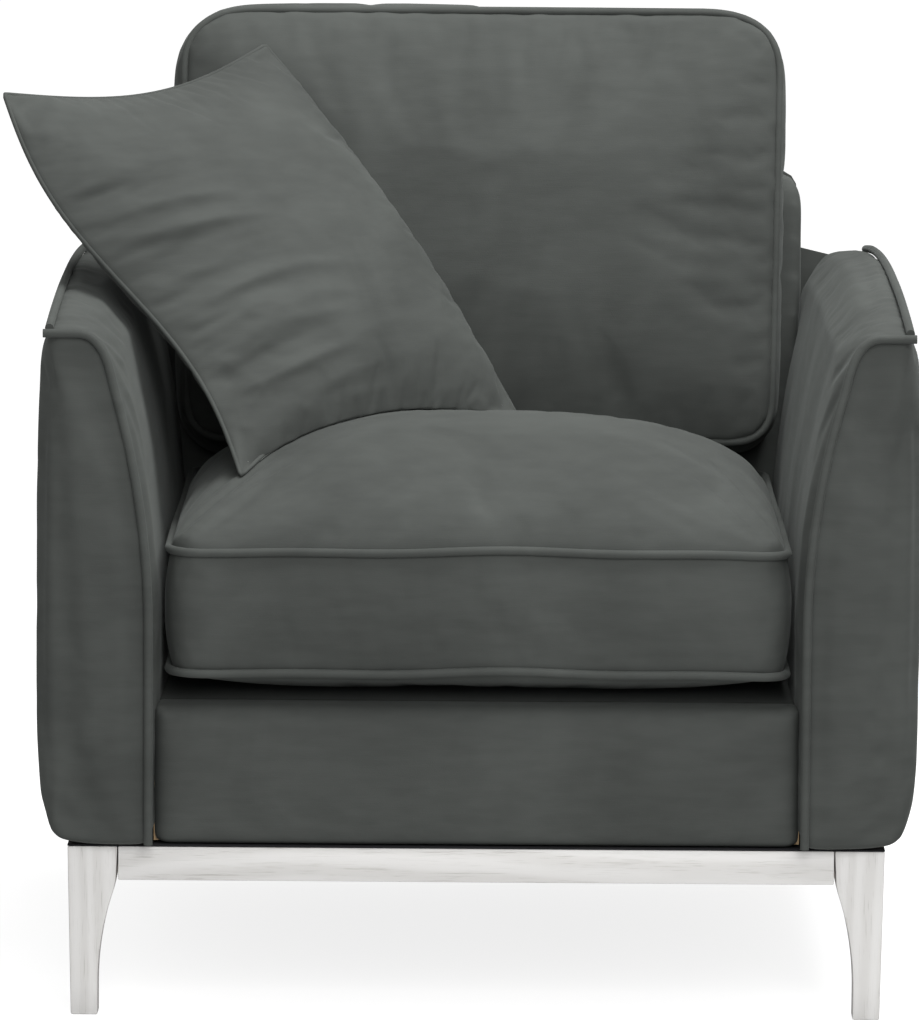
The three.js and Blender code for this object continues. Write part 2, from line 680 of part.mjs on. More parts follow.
const backSlot = block(
  slotAcross(backZipLength),
  slotAcross(zipWidth).map((y) => y - backCushionThickness / 2),
  [-coverThickness, 2 * coverThickness],
);
const backShell = backCushionSolid(0).subtract(backCushionSolid(coverThickness)).subtract(backSlot);
add("back_cushion_cover", backShell, velvet, backCushion);
add("back_cushion_core", backCushionSolid(coreInset), fibre, backCushion);
const frontWeltY = weltRadius - backCushionThickness;
add("back_cushion_piping_front", weltRing(backFace, frontWeltY, FRONT), velvet, backCushion);
add("back_cushion_piping_rear", weltRing(backFace, -weltRadius, FRONT), velvet, backCushion);
const backZip = add("back_cushion_zip", zip(backZipLength), zipTape, backCushion);
backZip.rotation.x = -Math.PI / 2;
backZip.position.set(0, -backCushionThickness / 2, coverThickness);

// The scatter cushion's own frame: x along its lower edge, z out of its face. It leans on the left
// arm and the back cushion with one corner on the seat cushion.
const scatterCushion = new THREE.Group();
const scatterAcross = scatterLowerEdge.clone().projectOnPlane(scatterFacing).normalize();
const scatterUp = scatterFacing.clone().cross(scatterAcross);
const scatterAxes = new THREE.Matrix4().makeBasis(scatterAcross, scatterUp, scatterFacing);
scatterCushion.setRotationFromMatrix(scatterAxes);
scatterCushion.position.set(
  scatterIn - halfGap,
  rearRailSetback - scatterForward,
  seatSeamTop + scatterRise,
);
chair.add(scatterCushion);

// The scatter cushion's thickness, seen edge on.
function lens(inset) {
  const half = scatterSide / 2 - inset;
  const edge = scatterEdge / 2;
  const crown = scatterThickness - edge - 2 * inset;
  const shape = new THREE.Shape();
  shape.moveTo(-half, -edge).quadraticCurveTo(0, -crown, half, -edge);
  shape.lineTo(half, edge).quadraticCurveTo(0, crown, -half, edge);
  return shape;
}

// What the scatter cushion presses against, `clearance` larger, in its own frame.
function scatterSupports(clearance) {
  chair.updateMatrixWorld(true);
  const toScatter = scatterCushion.matrixWorld.clone().invert();
  const supports = inFrame(seatSolid(-clearance), toScatter);
  return supports
    .add(inFrame(armSolid(-1, -clearance), toScatter))
    .add(inFrame(backCushionSolid(-clearance), toScatter.clone().multiply(backCushion.matrixWorld)));
}

function scatterSolid(inset) {
  const reach = scatterSide / 2 - inset;
  return prism(lens(inset), -reach, reach, FRONT, 8)
    .intersect(prism(lens(inset), -reach, reach, SIDE, 8))
    .subtract(scatterSupports(cushionPlay + inset));
}

// Its zip is in the seam of its upper edge, as it lies.
const scatterSlot = block(
  slotAcross(scatterZipLength),
  [scatterSide / 2 - 3 * coverThickness, scatterSide / 2 + touching],
  slotAcross(coverThickness),
);
const scatterShell = scatterSolid(0).subtract(scatterSolid(coverThickness)).subtract(scatterSlot);
const scatterZip = block(
  [-scatterZipLength / 2, scatterZipLength / 2],
  [scatterSide / 2 - 2 * coverThickness, scatterSide / 2],
  [-coverThickness / 2, coverThickness / 2],
);
add("scatter_cushion_cover", scatterShell, velvet, scatterCushion);
add("scatter_cushion_filling", scatterSolid(coreInset), fibre, scatterCushion);
add("scatter_cushion_zip", scatterZip, zipTape, scatterCushion);

// ---------------------------------------------------------------- origin
// The middle of the footprint, scatter cushion included, on the floor.
const armchair = new THREE.Group();
armchair.add(chair);
const extent = new THREE.Box3().setFromObject(chair, true);
const middle = extent.getCenter(new THREE.Vector3());
chair.position.set(-middle.x, -middle.y, -extent.min.z);

export default armchair;
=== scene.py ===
"""An upholstered armchair: velvet over a padded frame, loose cushions and a limed-oak leg frame.

Each sub-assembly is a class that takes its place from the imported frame, builds its pieces and
dresses them. Lengths are in metres, +Z is up and the sitter faces -Y.
"""

import logging
import math
from collections.abc import Callable, Iterable
from dataclasses import dataclass, field
from enum import Enum

import bmesh
import bpy
from mathutils import Matrix, Vector, noise
from mathutils.bvhtree import BVHTree
from mathutils.kdtree import KDTree


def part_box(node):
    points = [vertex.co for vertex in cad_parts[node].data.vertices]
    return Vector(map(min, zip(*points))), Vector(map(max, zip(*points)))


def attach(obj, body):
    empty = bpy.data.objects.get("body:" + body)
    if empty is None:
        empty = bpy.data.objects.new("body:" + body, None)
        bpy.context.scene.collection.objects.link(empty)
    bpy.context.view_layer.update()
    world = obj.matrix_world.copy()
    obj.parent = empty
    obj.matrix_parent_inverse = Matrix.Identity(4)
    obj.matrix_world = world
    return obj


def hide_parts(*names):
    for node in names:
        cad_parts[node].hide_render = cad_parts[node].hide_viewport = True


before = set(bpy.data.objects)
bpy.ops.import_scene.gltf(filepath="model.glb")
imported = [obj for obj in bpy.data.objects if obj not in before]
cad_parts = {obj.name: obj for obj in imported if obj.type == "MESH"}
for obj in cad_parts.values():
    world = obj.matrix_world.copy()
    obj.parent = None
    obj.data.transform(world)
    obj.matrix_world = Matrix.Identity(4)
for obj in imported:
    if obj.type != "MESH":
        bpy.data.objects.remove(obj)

log = logging.getLogger("armchair")
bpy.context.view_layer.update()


# ------------------------------------------------------------------ places in the frame
@dataclass(frozen=True)
class Box:
    """An axis-aligned box, as its lowest and highest corners."""

    lo: Vector
    hi: Vector

    @classmethod
    def of(cls, *nodes: str) -> "Box":
        """The box round one or more CAD nodes at rest.

        Args:
            nodes: names of CAD nodes.

        Returns:
            The smallest box that holds them all.
        """
        boxes = [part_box(node) for node in nodes]
        lo = Vector(min(Vector(b[0])[i] for b in boxes) for i in range(3))
        hi = Vector(max(Vector(b[1])[i] for b in boxes) for i in range(3))
        return cls(lo, hi)

    @property
    def middle(self) -> Vector:
        """The centre of the box."""
        return (self.lo + self.hi) / 2

    @property
    def size(self) -> Vector:
        """The box's extent along each axis."""
        return self.hi - self.lo


ARMS = Box.of("arm_cover_left", "arm_cover_right")
CENTRE_X = ARMS.middle.x
FRONT_Y = ARMS.lo.y
WELT_RADIUS = 0.0042


class Hand(Enum):
    """A side of the chair, as seen from the front."""

    LEFT = -1
    RIGHT = 1

    @property
    def word(self) -> str:
        """The side's name, as the nodes spell it."""
        return self.name.lower()


class Grain(Enum):
    """The way that a piece of timber's grain runs."""

    ALONG_X = (0.0, math.pi / 2, 0.0)
    ALONG_Y = (math.pi / 2, 0.0, 0.0)
    ALONG_Z = (0.0, 0.0, 0.0)


# ------------------------------------------------------------------ shader parts
class Shader:
    """A small builder for node trees: adds nodes and links by name."""

    def __init__(self, tree: bpy.types.NodeTree) -> None:
        """Starts on an empty tree."""
        self.tree = tree
        tree.nodes.clear()

    def add(self, kind: str, **values: object) -> bpy.types.Node:
        """Adds a node.

        Args:
            kind: the node's type, without the ShaderNode prefix.
            values: attributes of the node, or inputs where the name is one of its sockets
                with spaces written as underscores.

        Returns:
            The new node.
        """
        node = self.tree.nodes.new(kind if kind.startswith("Node") else "ShaderNode" + kind)
        for name, value in values.items():
            socket = node.inputs.get(name.replace("_", " "))
            if socket is None:
                setattr(node, name, value)
            elif isinstance(value, bpy.types.NodeSocket):
                self.tree.links.new(value, socket)
            else:
                socket.default_value = value
        return node

    def math(self, operation: str, a: object, b: object = 0.0, clamp: bool = False) -> object:
        """Adds a Math node and returns its output socket."""
        node = self.tree.nodes.new("ShaderNodeMath")
        node.operation, node.use_clamp = operation, clamp
        for socket, value in zip(node.inputs, (a, b)):
            if isinstance(value, bpy.types.NodeSocket):
                self.tree.links.new(value, socket)
            else:
                socket.default_value = value
        return node.outputs[0]

    def mix(self, factor: object, a: object, b: object) -> object:
        """Adds a colour Mix node and returns its output socket."""
        node = self.tree.nodes.new("ShaderNodeMix")
        node.data_type = "RGBA"
        for socket, value in ((node.inputs[0], factor), (node.inputs[6], a), (node.inputs[7], b)):
            if isinstance(value, bpy.types.NodeSocket):
                self.tree.links.new(value, socket)
            else:
                socket.default_value = value
        return node.outputs[2]

    def stretch(self, source: object, scale: tuple, turn: tuple = (0, 0, 0)) -> object:
        """Scales and turns coordinates and returns them."""
        return self.add("Mapping", Vector=source, Scale=scale, Rotation=turn).outputs[0]

    def times(self, a: object, b: object) -> object:
        """Multiplies two values and returns the result."""
        return self.math("MULTIPLY", a, b)

    def plus(self, a: object, b: object, clamp: bool = False) -> object:
        """Adds two values and returns the result."""
        return self.math("ADD", a, b, clamp)

    def noise(
        self, source: object, scale: float, detail: float = 3.0, rough: float = 0.5
    ) -> object:
        """Adds a noise texture and returns its value."""
        made = self.add("TexNoise", Vector=source, Scale=scale, Detail=detail, Roughness=rough)
        return made.outputs[0]

    def ramp(
        self, source: object, low: float, high: float, to_low: float = 0.0, to_high: float = 1.0
    ) -> object:
        """Maps a value smoothly from one range to another and returns it."""
        node = self.tree.nodes.new("ShaderNodeMapRange")
        node.interpolation_type = "SMOOTHSTEP"
        self.tree.links.new(source, node.inputs[0])
        for i, value in enumerate((low, high, to_low, to_high), start=1):
            node.inputs[i].default_value = value
        return node.outputs[0]


def node_group(name: str, inputs: dict, outputs: dict, build: Callable) -> bpy.types.NodeTree:
    """Makes a shader node group with named inputs and outputs.

    Args:
        name: the group's name.
        inputs: each input's name with its socket type and default value.
        outputs: each output's name with its socket type.
        build: called with the Shader and the input sockets by name; returns the output sockets
            by name.

    Returns:
        The finished group.
    """
    tree = bpy.data.node_groups.new(name, "ShaderNodeTree")
    for label, (kind, value) in inputs.items():
        socket = tree.interface.new_socket(label, in_out="INPUT", socket_type=kind)
        if value is not None:
            socket.default_value = value
    for label, kind in outputs.items():
        tree.interface.new_socket(label, in_out="OUTPUT", socket_type=kind)
    shader = Shader(tree)
    entry = shader.add("NodeGroupInput")
    results = build(shader, {label: entry.outputs[label] for label in inputs})
    leave = shader.add("NodeGroupOutput")
    for label, socket in results.items():
        tree.links.new(socket, leave.inputs[label])
    return tree


def nap_group() -> bpy.types.NodeTree:
    """The way velvet's pile lies: broad brushed patches, fine streaks and a pile-deep roughness.

    Returns:
        A group with Coordinates, Patch size and Strength in, and Shade, Roughness and Pile out.
    """

    def build(s: Shader, given: dict) -> dict:
        """Lays out the group."""
        where = given["Coordinates"]
        patches = s.add("TexNoise", Vector=where, Detail=4.0, Roughness=0.55, Distortion=0.6)
        s.tree.links.new(given["Patch size"], patches.inputs["Scale"])
        brushed = s.noise(s.stretch(where, (14.0, 14.0, 60.0)), 1.6, 3.0)
        pile = s.noise(where, 900.0, 2.0, 0.6)
        rows = s.noise(s.stretch(where, (60.0, 60.0, 1400.0)), 1.0, 1.0)
        broad = s.ramp(patches.outputs[0], 0.3, 0.7, -1.0, 1.0)
        fine = s.ramp(brushed, 0.3, 0.7, -0.35, 0.35)
        shade = s.plus(s.times(s.plus(broad, fine), given["Strength"]), 1.0)
        rough = s.plus(s.times(broad, 0.05), 0.82)
        height = s.plus(s.times(pile, 0.7), s.times(rows, 0.5))
        return {"Shade": shade, "Roughness": rough, "Pile": height}

    return node_group(
        "velvet_nap",
        {
            "Coordinates": ("NodeSocketVector", None),
            "Patch size": ("NodeSocketFloat", 7.0),
            "Strength": ("NodeSocketFloat", 0.08),
        },
        {"Shade": "NodeSocketFloat", "Roughness": "NodeSocketFloat", "Pile": "NodeSocketFloat"},
        build,
    )


def grain_group() -> bpy.types.NodeTree:
    """Timber grain that runs along the local Z axis: growth bands, open pores and mottling.

    Returns:
        A group with Coordinates in, and Bands, Pores and Height out.
    """

    def build(s: Shader, given: dict) -> dict:
        """Lays out the group."""
        where = given["Coordinates"]
        drift = s.noise(s.stretch(where, (9.0, 9.0, 1.4)), 1.0, 3.0)
        across = s.add("SeparateXYZ", Vector=where)
        lines = s.plus(s.times(across.outputs[0], 95.0), s.times(drift, 9.0))
        lines = s.plus(lines, s.times(across.outputs[1], 40.0))
        bands = s.ramp(s.math("SINE", s.times(lines, 3.0)), -1.0, 1.0)
        pores = s.ramp(s.noise(s.stretch(where, (900.0, 900.0, 28.0)), 1.0, 2.0, 0.6), 0.56, 0.72)
        pores = s.times(pores, s.ramp(bands, 0.1, 0.9, 0.35, 1.0))
        height = s.math("SUBTRACT", s.times(bands, 0.3), pores)
        return {"Bands": bands, "Pores": pores, "Height": height}

    return node_group(
        "timber_grain",
        {"Coordinates": ("NodeSocketVector", None)},
        {"Bands": "NodeSocketFloat", "Pores": "NodeSocketFloat", "Height": "NodeSocketFloat"},
        build,
    )


def weave_group() -> bpy.types.NodeTree:
    """Crossing threads, for tapes, webbing and linings.

    Returns:
        A group with Coordinates and Threads (per metre) in, and Thread and Height out.
    """

    def build(s: Shader, given: dict) -> dict:
        """Lays out the group."""
        split = s.add("SeparateXYZ", Vector=given["Coordinates"])
        turns = s.times(given["Threads"], math.tau)
        x, y, z = split.outputs
        warp = s.math("SINE", s.times(s.plus(x, z), turns))
        weft = s.math("SINE", s.times(s.plus(y, z), turns))
        height = s.times(s.times(warp, weft), 0.5)
        return {"Thread": s.ramp(height, -0.5, 0.5), "Height": height}

    return node_group(
        "thread_weave",
        {"Coordinates": ("NodeSocketVector", None), "Threads": ("NodeSocketFloat", 700.0)},
        {"Thread": "NodeSocketFloat", "Height": "NodeSocketFloat"},
        build,
    )


GROUPS: dict[str, bpy.types.NodeTree] = {}


def placed(shader: Shader, name: str, **values: object) -> bpy.types.Node:
    """Puts one of the shared groups into a material.

    Args:
        shader: the material's builder.
        name: nap, grain or weave.
        values: its inputs, with spaces written as underscores.

    Returns:
        The group's node.
    """
    makers = {"nap": nap_group, "grain": grain_group, "weave": weave_group}
    if name not in GROUPS:
        GROUPS[name] = makers[name]()
    node = shader.tree.nodes.new("ShaderNodeGroup")
    node.node_tree = GROUPS[name]
    for label, value in values.items():
        socket = node.inputs[label.replace("_", " ")]
        if isinstance(value, bpy.types.NodeSocket):
            shader.tree.links.new(value, socket)
        else:
            socket.default_value = value
    return node


def new_material(name: str) -> tuple[bpy.types.Material, Shader, bpy.types.Node, object]:
    """Starts a material.

    Args:
        name: the material's name.

    Returns:
        The material, its builder, its Principled shader and its Object coordinates.
    """
    made = bpy.data.materials.new(name)
    made.use_nodes = True
    shader = Shader(made.node_tree)
    principled = shader.add("BsdfPrincipled")
    shader.add("OutputMaterial", Surface=principled.outputs[0])
    return made, shader, principled, shader.add("TexCoord").outputs["Object"]


def relief(
    shader: Shader, principled: bpy.types.Node, height: object, depth: float, strength: float
) -> None:
    """Feeds a height to the shader's normal through a Bump node."""
    bump = shader.add("Bump", Height=height, Distance=depth, Strength=strength)
    shader.tree.links.new(bump.outputs[0], principled.inputs["Normal"])


# ------------------------------------------------------------------ finishes
@dataclass(frozen=True)
class Velvet:
    """Cut-pile velvet: dark when looked into, light where the pile is seen edge on."""

    name: str = "velvet"
    colour: tuple[float, float, float] = (0.072, 0.077, 0.0725)
    sheen: float = 0.16
    sheen_tint: tuple[float, float, float] = (0.50, 0.53, 0.51)
    patch_size: float = 6.0
    mottle: float = 0.10

    def material(self) -> bpy.types.Material:
        """Builds the material."""
        made, s, principled, where = new_material(self.name)
        nap = placed(s, "nap", Coordinates=where, Patch_size=self.patch_size, Strength=self.mottle)
        dark = tuple(0.72 * c for c in self.colour)
        light = tuple(1.28 * c for c in self.colour)
        leaning = s.math("SUBTRACT", nap.outputs["Shade"], 1.0)
        factor = s.plus(s.times(leaning, 2.2), 0.5, clamp=True)
        colour = s.mix(factor, (*dark, 1.0), (*light, 1.0))
        s.tree.links.new(colour, principled.inputs["Base Color"])
        s.tree.links.new(nap.outputs["Roughness"], principled.inputs["Roughness"])
        principled.inputs["Specular IOR Level"].default_value = 0.05
        principled.inputs["Sheen Weight"].default_value = self.sheen
        principled.inputs["Sheen Roughness"].default_value = 0.35
        principled.inputs["Sheen Tint"].default_value = (*self.sheen_tint, 1.0)
        relief(s, principled, nap.outputs["Pile"], 0.0004, 0.35)
        return made


@dataclass(frozen=True)
class Timber:
    """A wood finish with its grain along one axis."""

    name: str
    pale: tuple[float, float, float]
    dark: tuple[float, float, float]
    grain: Grain
    roughness: float = 0.55
    pore_depth: float = 0.0004
    contrast: float = 1.0

    def material(self) -> bpy.types.Material:
        """Builds the material."""
        made, s, principled, where = new_material(f"{self.name}_{self.grain.name.lower()}")
        turned = s.stretch(where, (1.0, 1.0, 1.0), self.grain.value)
        grain = placed(s, "grain", Coordinates=turned)
        bands = s.times(grain.outputs["Bands"], 0.35 * self.contrast)
        pores = s.times(grain.outputs["Pores"], 0.65 * self.contrast)
        shade = s.plus(bands, pores, clamp=True)
        colour = s.mix(shade, (*self.pale, 1.0), (*self.dark, 1.0))
        s.tree.links.new(colour, principled.inputs["Base Color"])
        rough = s.plus(s.times(grain.outputs["Pores"], 0.2), self.roughness)
        s.tree.links.new(rough, principled.inputs["Roughness"])
        principled.inputs["Specular IOR Level"].default_value = 0.35
        relief(s, principled, grain.outputs["Height"], self.pore_depth, 0.5)
        return made


@dataclass(frozen=True)
class Woven:
    """A flat cloth, tape or webbing with visible threads."""

    name: str
    colour: tuple[float, float, float]
    threads: float = 700.0
    roughness: float = 0.9
    relief: float = 0.0003

    def material(self) -> bpy.types.Material:
        """Builds the material."""
        made, s, principled, where = new_material(self.name)
        weave = placed(s, "weave", Coordinates=where, Threads=self.threads)
        dark = tuple(0.6 * c for c in self.colour)
        colour = s.mix(weave.outputs["Thread"], (*dark, 1.0), (*self.colour, 1.0))
        s.tree.links.new(colour, principled.inputs["Base Color"])
        principled.inputs["Roughness"].default_value = self.roughness
        principled.inputs["Specular IOR Level"].default_value = 0.2
        relief(s, principled, weave.outputs["Height"], self.relief, 0.6)
        return made


@dataclass(frozen=True)
class Cellular:
    """Foam or fibre: matt, pale and slightly mottled."""

    name: str
    colour: tuple[float, float, float]
    cell_size: float = 400.0
    relief: float = 0.0008

    def material(self) -> bpy.types.Material:
        """Builds the material."""
        made, s, principled, where = new_material(self.name)
        cells = s.noise(where, self.cell_size, 3.0, 0.7)
        dark = tuple(0.82 * c for c in self.colour)
        colour = s.mix(s.ramp(cells, 0.35, 0.65), (*dark, 1.0), (*self.colour, 1.0))
        s.tree.links.new(colour, principled.inputs["Base Color"])
        principled.inputs["Roughness"].default_value = 0.95
        relief(s, principled, cells, self.relief, 0.6)
        return made


@dataclass(frozen=True)
class DrawnWire:
    """Drawn spring steel with faint marks along it."""

    name: str = "spring_steel"
    colour: tuple[float, float, float] = (0.42, 0.43, 0.45)

    def material(self) -> bpy.types.Material:
        """Builds the material."""
        made, s, principled, where = new_material(self.name)
        marks = s.noise(s.stretch(where, (300.0, 60.0, 300.0)), 1.0, 2.0)
        dark = tuple(0.7 * c for c in self.colour)
        colour = s.mix(s.ramp(marks, 0.35, 0.65), (*dark, 1.0), (*self.colour, 1.0))
        s.tree.links.new(colour, principled.inputs["Base Color"])
        rough = s.ramp(marks, 0.3, 0.7, 0.3, 0.5)
        s.tree.links.new(rough, principled.inputs["Roughness"])
        principled.inputs["Metallic"].default_value = 1.0
        return made


class Wardrobe:
    """Every finish of the chair, each built once."""

    def __init__(self) -> None:
        """Builds the materials."""
        limed = dict(pale=(0.80, 0.79, 0.775), dark=(0.60, 0.585, 0.56))
        pine = dict(pale=(0.62, 0.44, 0.25), dark=(0.42, 0.26, 0.13), pore_depth=0.0002)
        ply = dict(pale=(0.55, 0.38, 0.21), dark=(0.38, 0.24, 0.12), contrast=0.7)
        self.velvet = Velvet().material()
        self.oak = {g: Timber("limed_oak", grain=g, **limed).material() for g in Grain}
        self.pine = {g: Timber("frame_timber", grain=g, **pine).material() for g in Grain}
        self.ply = Timber("plywood", grain=Grain.ALONG_Z, **ply).material()
        self.foam = Cellular("foam", (0.80, 0.74, 0.56)).material()
        self.fibre = Cellular("fibre", (0.85, 0.84, 0.80), 160.0).material()
        self.lining = Woven("lining", (0.020, 0.020, 0.022), 900.0).material()
        self.webbing = Woven("webbing", (0.050, 0.042, 0.034), 350.0).material()
        self.zip = Woven("zip_tape", (0.040, 0.043, 0.046), 500.0, 0.6).material()
        self.steel = DrawnWire().material()


# ------------------------------------------------------------------ mesh tools
def new_object(name: str, mesh: bmesh.types.BMesh) -> bpy.types.Object:
    """Turns a bmesh into an object in the scene and frees it.

    Args:
        name: the piece's name.
        mesh: the finished bmesh.

    Returns:
        The new object, at the origin.
    """
    data = bpy.data.meshes.new(name)
    mesh.normal_update()
    mesh.to_mesh(data)
    mesh.free()
    data.polygons.foreach_set("use_smooth", [True] * len(data.polygons))
    made = bpy.data.objects.new(name, data)
    bpy.context.scene.collection.objects.link(made)
    return made


def settle(piece: bpy.types.Object) -> None:
    """Applies a piece's modifiers, so that only its mesh is left."""
    graph = bpy.context.evaluated_depsgraph_get()
    graph.update()
    data = bpy.data.meshes.new_from_object(piece.evaluated_get(graph), depsgraph=graph)
    piece.modifiers.clear()
    old, piece.data = piece.data, data
    data.name = piece.name
    bpy.data.meshes.remove(old)
    data.polygons.foreach_set("use_smooth", [True] * len(data.polygons))


def remesh(piece: bpy.types.Object, voxel: float) -> None:
    """Gives a piece an even mesh of the size asked for."""
    modifier = piece.modifiers.new("even", "REMESH")
    modifier.mode, modifier.voxel_size = "VOXEL", voxel
    settle(piece)


def soften(piece: bpy.types.Object, rounds: int, factor: float = 0.5) -> None:
    """Smooths a piece's surface a few times over."""
    modifier = piece.modifiers.new("soften", "SMOOTH")
    modifier.iterations, modifier.factor = rounds, factor
    settle(piece)


def refine(piece: bpy.types.Object, levels: int = 1) -> None:
    """Subdivides a piece smoothly and keeps the result."""
    modifier = piece.modifiers.new("refine", "SUBSURF")
    modifier.levels = modifier.render_levels = levels
    settle(piece)


def reshape(piece: bpy.types.Object, move: Callable[[Vector, Vector], Vector]) -> None:
    """Moves each vertex of a piece to move(place, normal)."""
    data = piece.data
    places = [vertex.co.copy() for vertex in data.vertices]
    normals = [vertex.normal.copy() for vertex in data.vertices]
    moved = [length for pair in zip(places, normals) for length in move(*pair)]
    data.vertices.foreach_set("co", moved)
    data.update()


def outline_prism(outline: Iterable[Vector], along: Vector) -> bmesh.types.BMesh:
    """Extrudes a closed outline into a solid.

    Args:
        outline: its corner points, in order.
        along: the way and distance that it is extruded.

    Returns:
        The solid's bmesh, with its faces pointing out.
    """
    mesh = bmesh.new()
    corners = [mesh.verts.new(point) for point in outline]
    face = mesh.faces.new(corners)
    grown = bmesh.ops.extrude_face_region(mesh, geom=[face])
    moved = [item for item in grown["geom"] if isinstance(item, bmesh.types.BMVert)]
    bmesh.ops.translate(mesh, verts=moved, vec=along)
    bmesh.ops.recalc_face_normals(mesh, faces=mesh.faces)
    return mesh


def slice_along(mesh: bmesh.types.BMesh, axis: Vector, places: Iterable[float]) -> None:
    """Cuts extra loops into a mesh, square to an axis, at the places given."""
    for place in places:
        everything = mesh.verts[:] + mesh.edges[:] + mesh.faces[:]
        bmesh.ops.bisect_plane(mesh, geom=everything, plane_co=axis * place, plane_no=axis)


def round_edges(mesh: bmesh.types.BMesh, edges: list, width: float, segments: int = 3) -> None:
    """Rounds some edges of a mesh."""
    bmesh.ops.bevel(
        mesh, geom=edges, offset=width, affect="EDGES", segments=segments, profile=0.5, material=-1
    )


def curve_points(start: Vector, control: Vector, end: Vector, count: int) -> list[Vector]:
    """Points along a quadratic curve, without its start.

    Args:
        start: where it starts.
        control: the corner that it rounds.
        end: where it ends.
        count: how many points to give.

    Returns:
        The points, the last of which is end.
    """
    steps = [(i + 1) / count for i in range(count)]
    return [(1 - t) ** 2 * start + 2 * t * (1 - t) * control + t * t * end for t in steps]


def tube(
    name: str, path: list[Vector], radius: float, closed: bool, fine: int = 3
) -> bpy.types.Object:
    """Makes a round cord along a path, as a mesh.

    Args:
        name: the piece's name.
        path: the points that it follows.
        radius: the cord's radius.
        closed: whether its ends meet.
        fine: how finely its section is rounded.

    Returns:
        The cord.
    """
    curve = bpy.data.curves.new(name, "CURVE")
    curve.dimensions, curve.bevel_depth, curve.bevel_resolution = "3D", radius, fine
    curve.use_fill_caps = not closed
    spline = curve.splines.new("POLY")
    spline.points.add(len(path) - 1)
    for point, place in zip(spline.points, path):
        point.co = (*place, 1.0)
    spline.use_cyclic_u = closed
    holder = bpy.data.objects.new(name, curve)
    bpy.context.scene.collection.objects.link(holder)
    graph = bpy.context.evaluated_depsgraph_get()
    data = bpy.data.meshes.new_from_object(holder.evaluated_get(graph), depsgraph=graph)
    bpy.data.objects.remove(holder)
    made = bpy.data.objects.new(name, data)
    data.name = name
    data.polygons.foreach_set("use_smooth", [True] * len(data.polygons))
    bpy.context.scene.collection.objects.link(made)
    return made


def evenly(path: list[Vector], step: float, closed: bool) -> list[Vector]:
    """Spaces points evenly along a path.

    Args:
        path: the path's corners.
        step: the distance wanted between points.
        closed: whether the path returns to its start.

    Returns:
        The new points.
    """
    corners = path + [path[0]] if closed else path
    lengths = [(b - a).length for a, b in zip(corners, corners[1:])]
    total = sum(lengths)
    count = max(2, round(total / step))
    places, made, walked, i = [total * n / count for n in range(count + (not closed))], [], 0.0, 0
    for place in places:
        while i < len(lengths) - 1 and walked + lengths[i] < place:
            walked += lengths[i]
            i += 1
        share = min(1.0, (place - walked) / max(lengths[i], 1e-9))
        made.append(corners[i].lerp(corners[i + 1], share))
    return made


def rounded_rectangle(half_x: float, half_y: float, radius: float, step: float) -> list[Vector]:
    """A rounded rectangle in the XY plane, centred on the origin, as evenly spaced points."""
    path: list[Vector] = []
    corners = [(1, -1), (1, 1), (-1, 1), (-1, -1)]
    for turn, (sx, sy) in enumerate(corners):
        middle = Vector((sx * (half_x - radius), sy * (half_y - radius), 0))
        for i in range(9):
            angle = math.radians(-90 + 90 * turn + 90 * i / 8)
            path.append(middle + radius * Vector((math.cos(angle), math.sin(angle), 0)))
    return evenly(path, step, True)


def joined(name: str, *pieces: bpy.types.Object) -> bpy.types.Object:
    """Makes one piece of several, which are used up.

    Args:
        name: the new piece's name.
        pieces: the parts to join.

    Returns:
        The new piece.
    """
    mesh = bmesh.new()
    for part in pieces:
        mesh.from_mesh(part.data)
        bpy.data.objects.remove(part)
    return new_object(name, mesh)


def surface_of(piece: bpy.types.Object) -> BVHTree:
    """A piece's surface, to look places up on."""
    mesh = bmesh.new()
    mesh.from_mesh(piece.data)
    tree = BVHTree.FromBMesh(mesh)
    mesh.free()
    return tree


def clear_of(place: Vector, surfaces: Iterable[BVHTree], gap: float) -> Vector:
    """Moves a point out of some solids, so that it is at least a gap outside each.

    Args:
        place: the point.
        surfaces: the solids' surfaces.
        gap: the distance to keep.

    Returns:
        The point, moved only as far as it has to be.
    """
    for surface in surfaces:
        near, normal, _, _ = surface.find_nearest(place)
        if near is not None and (place - near).dot(normal) < gap and (place - near).length < 0.09:
            place = near + normal * gap
    return place


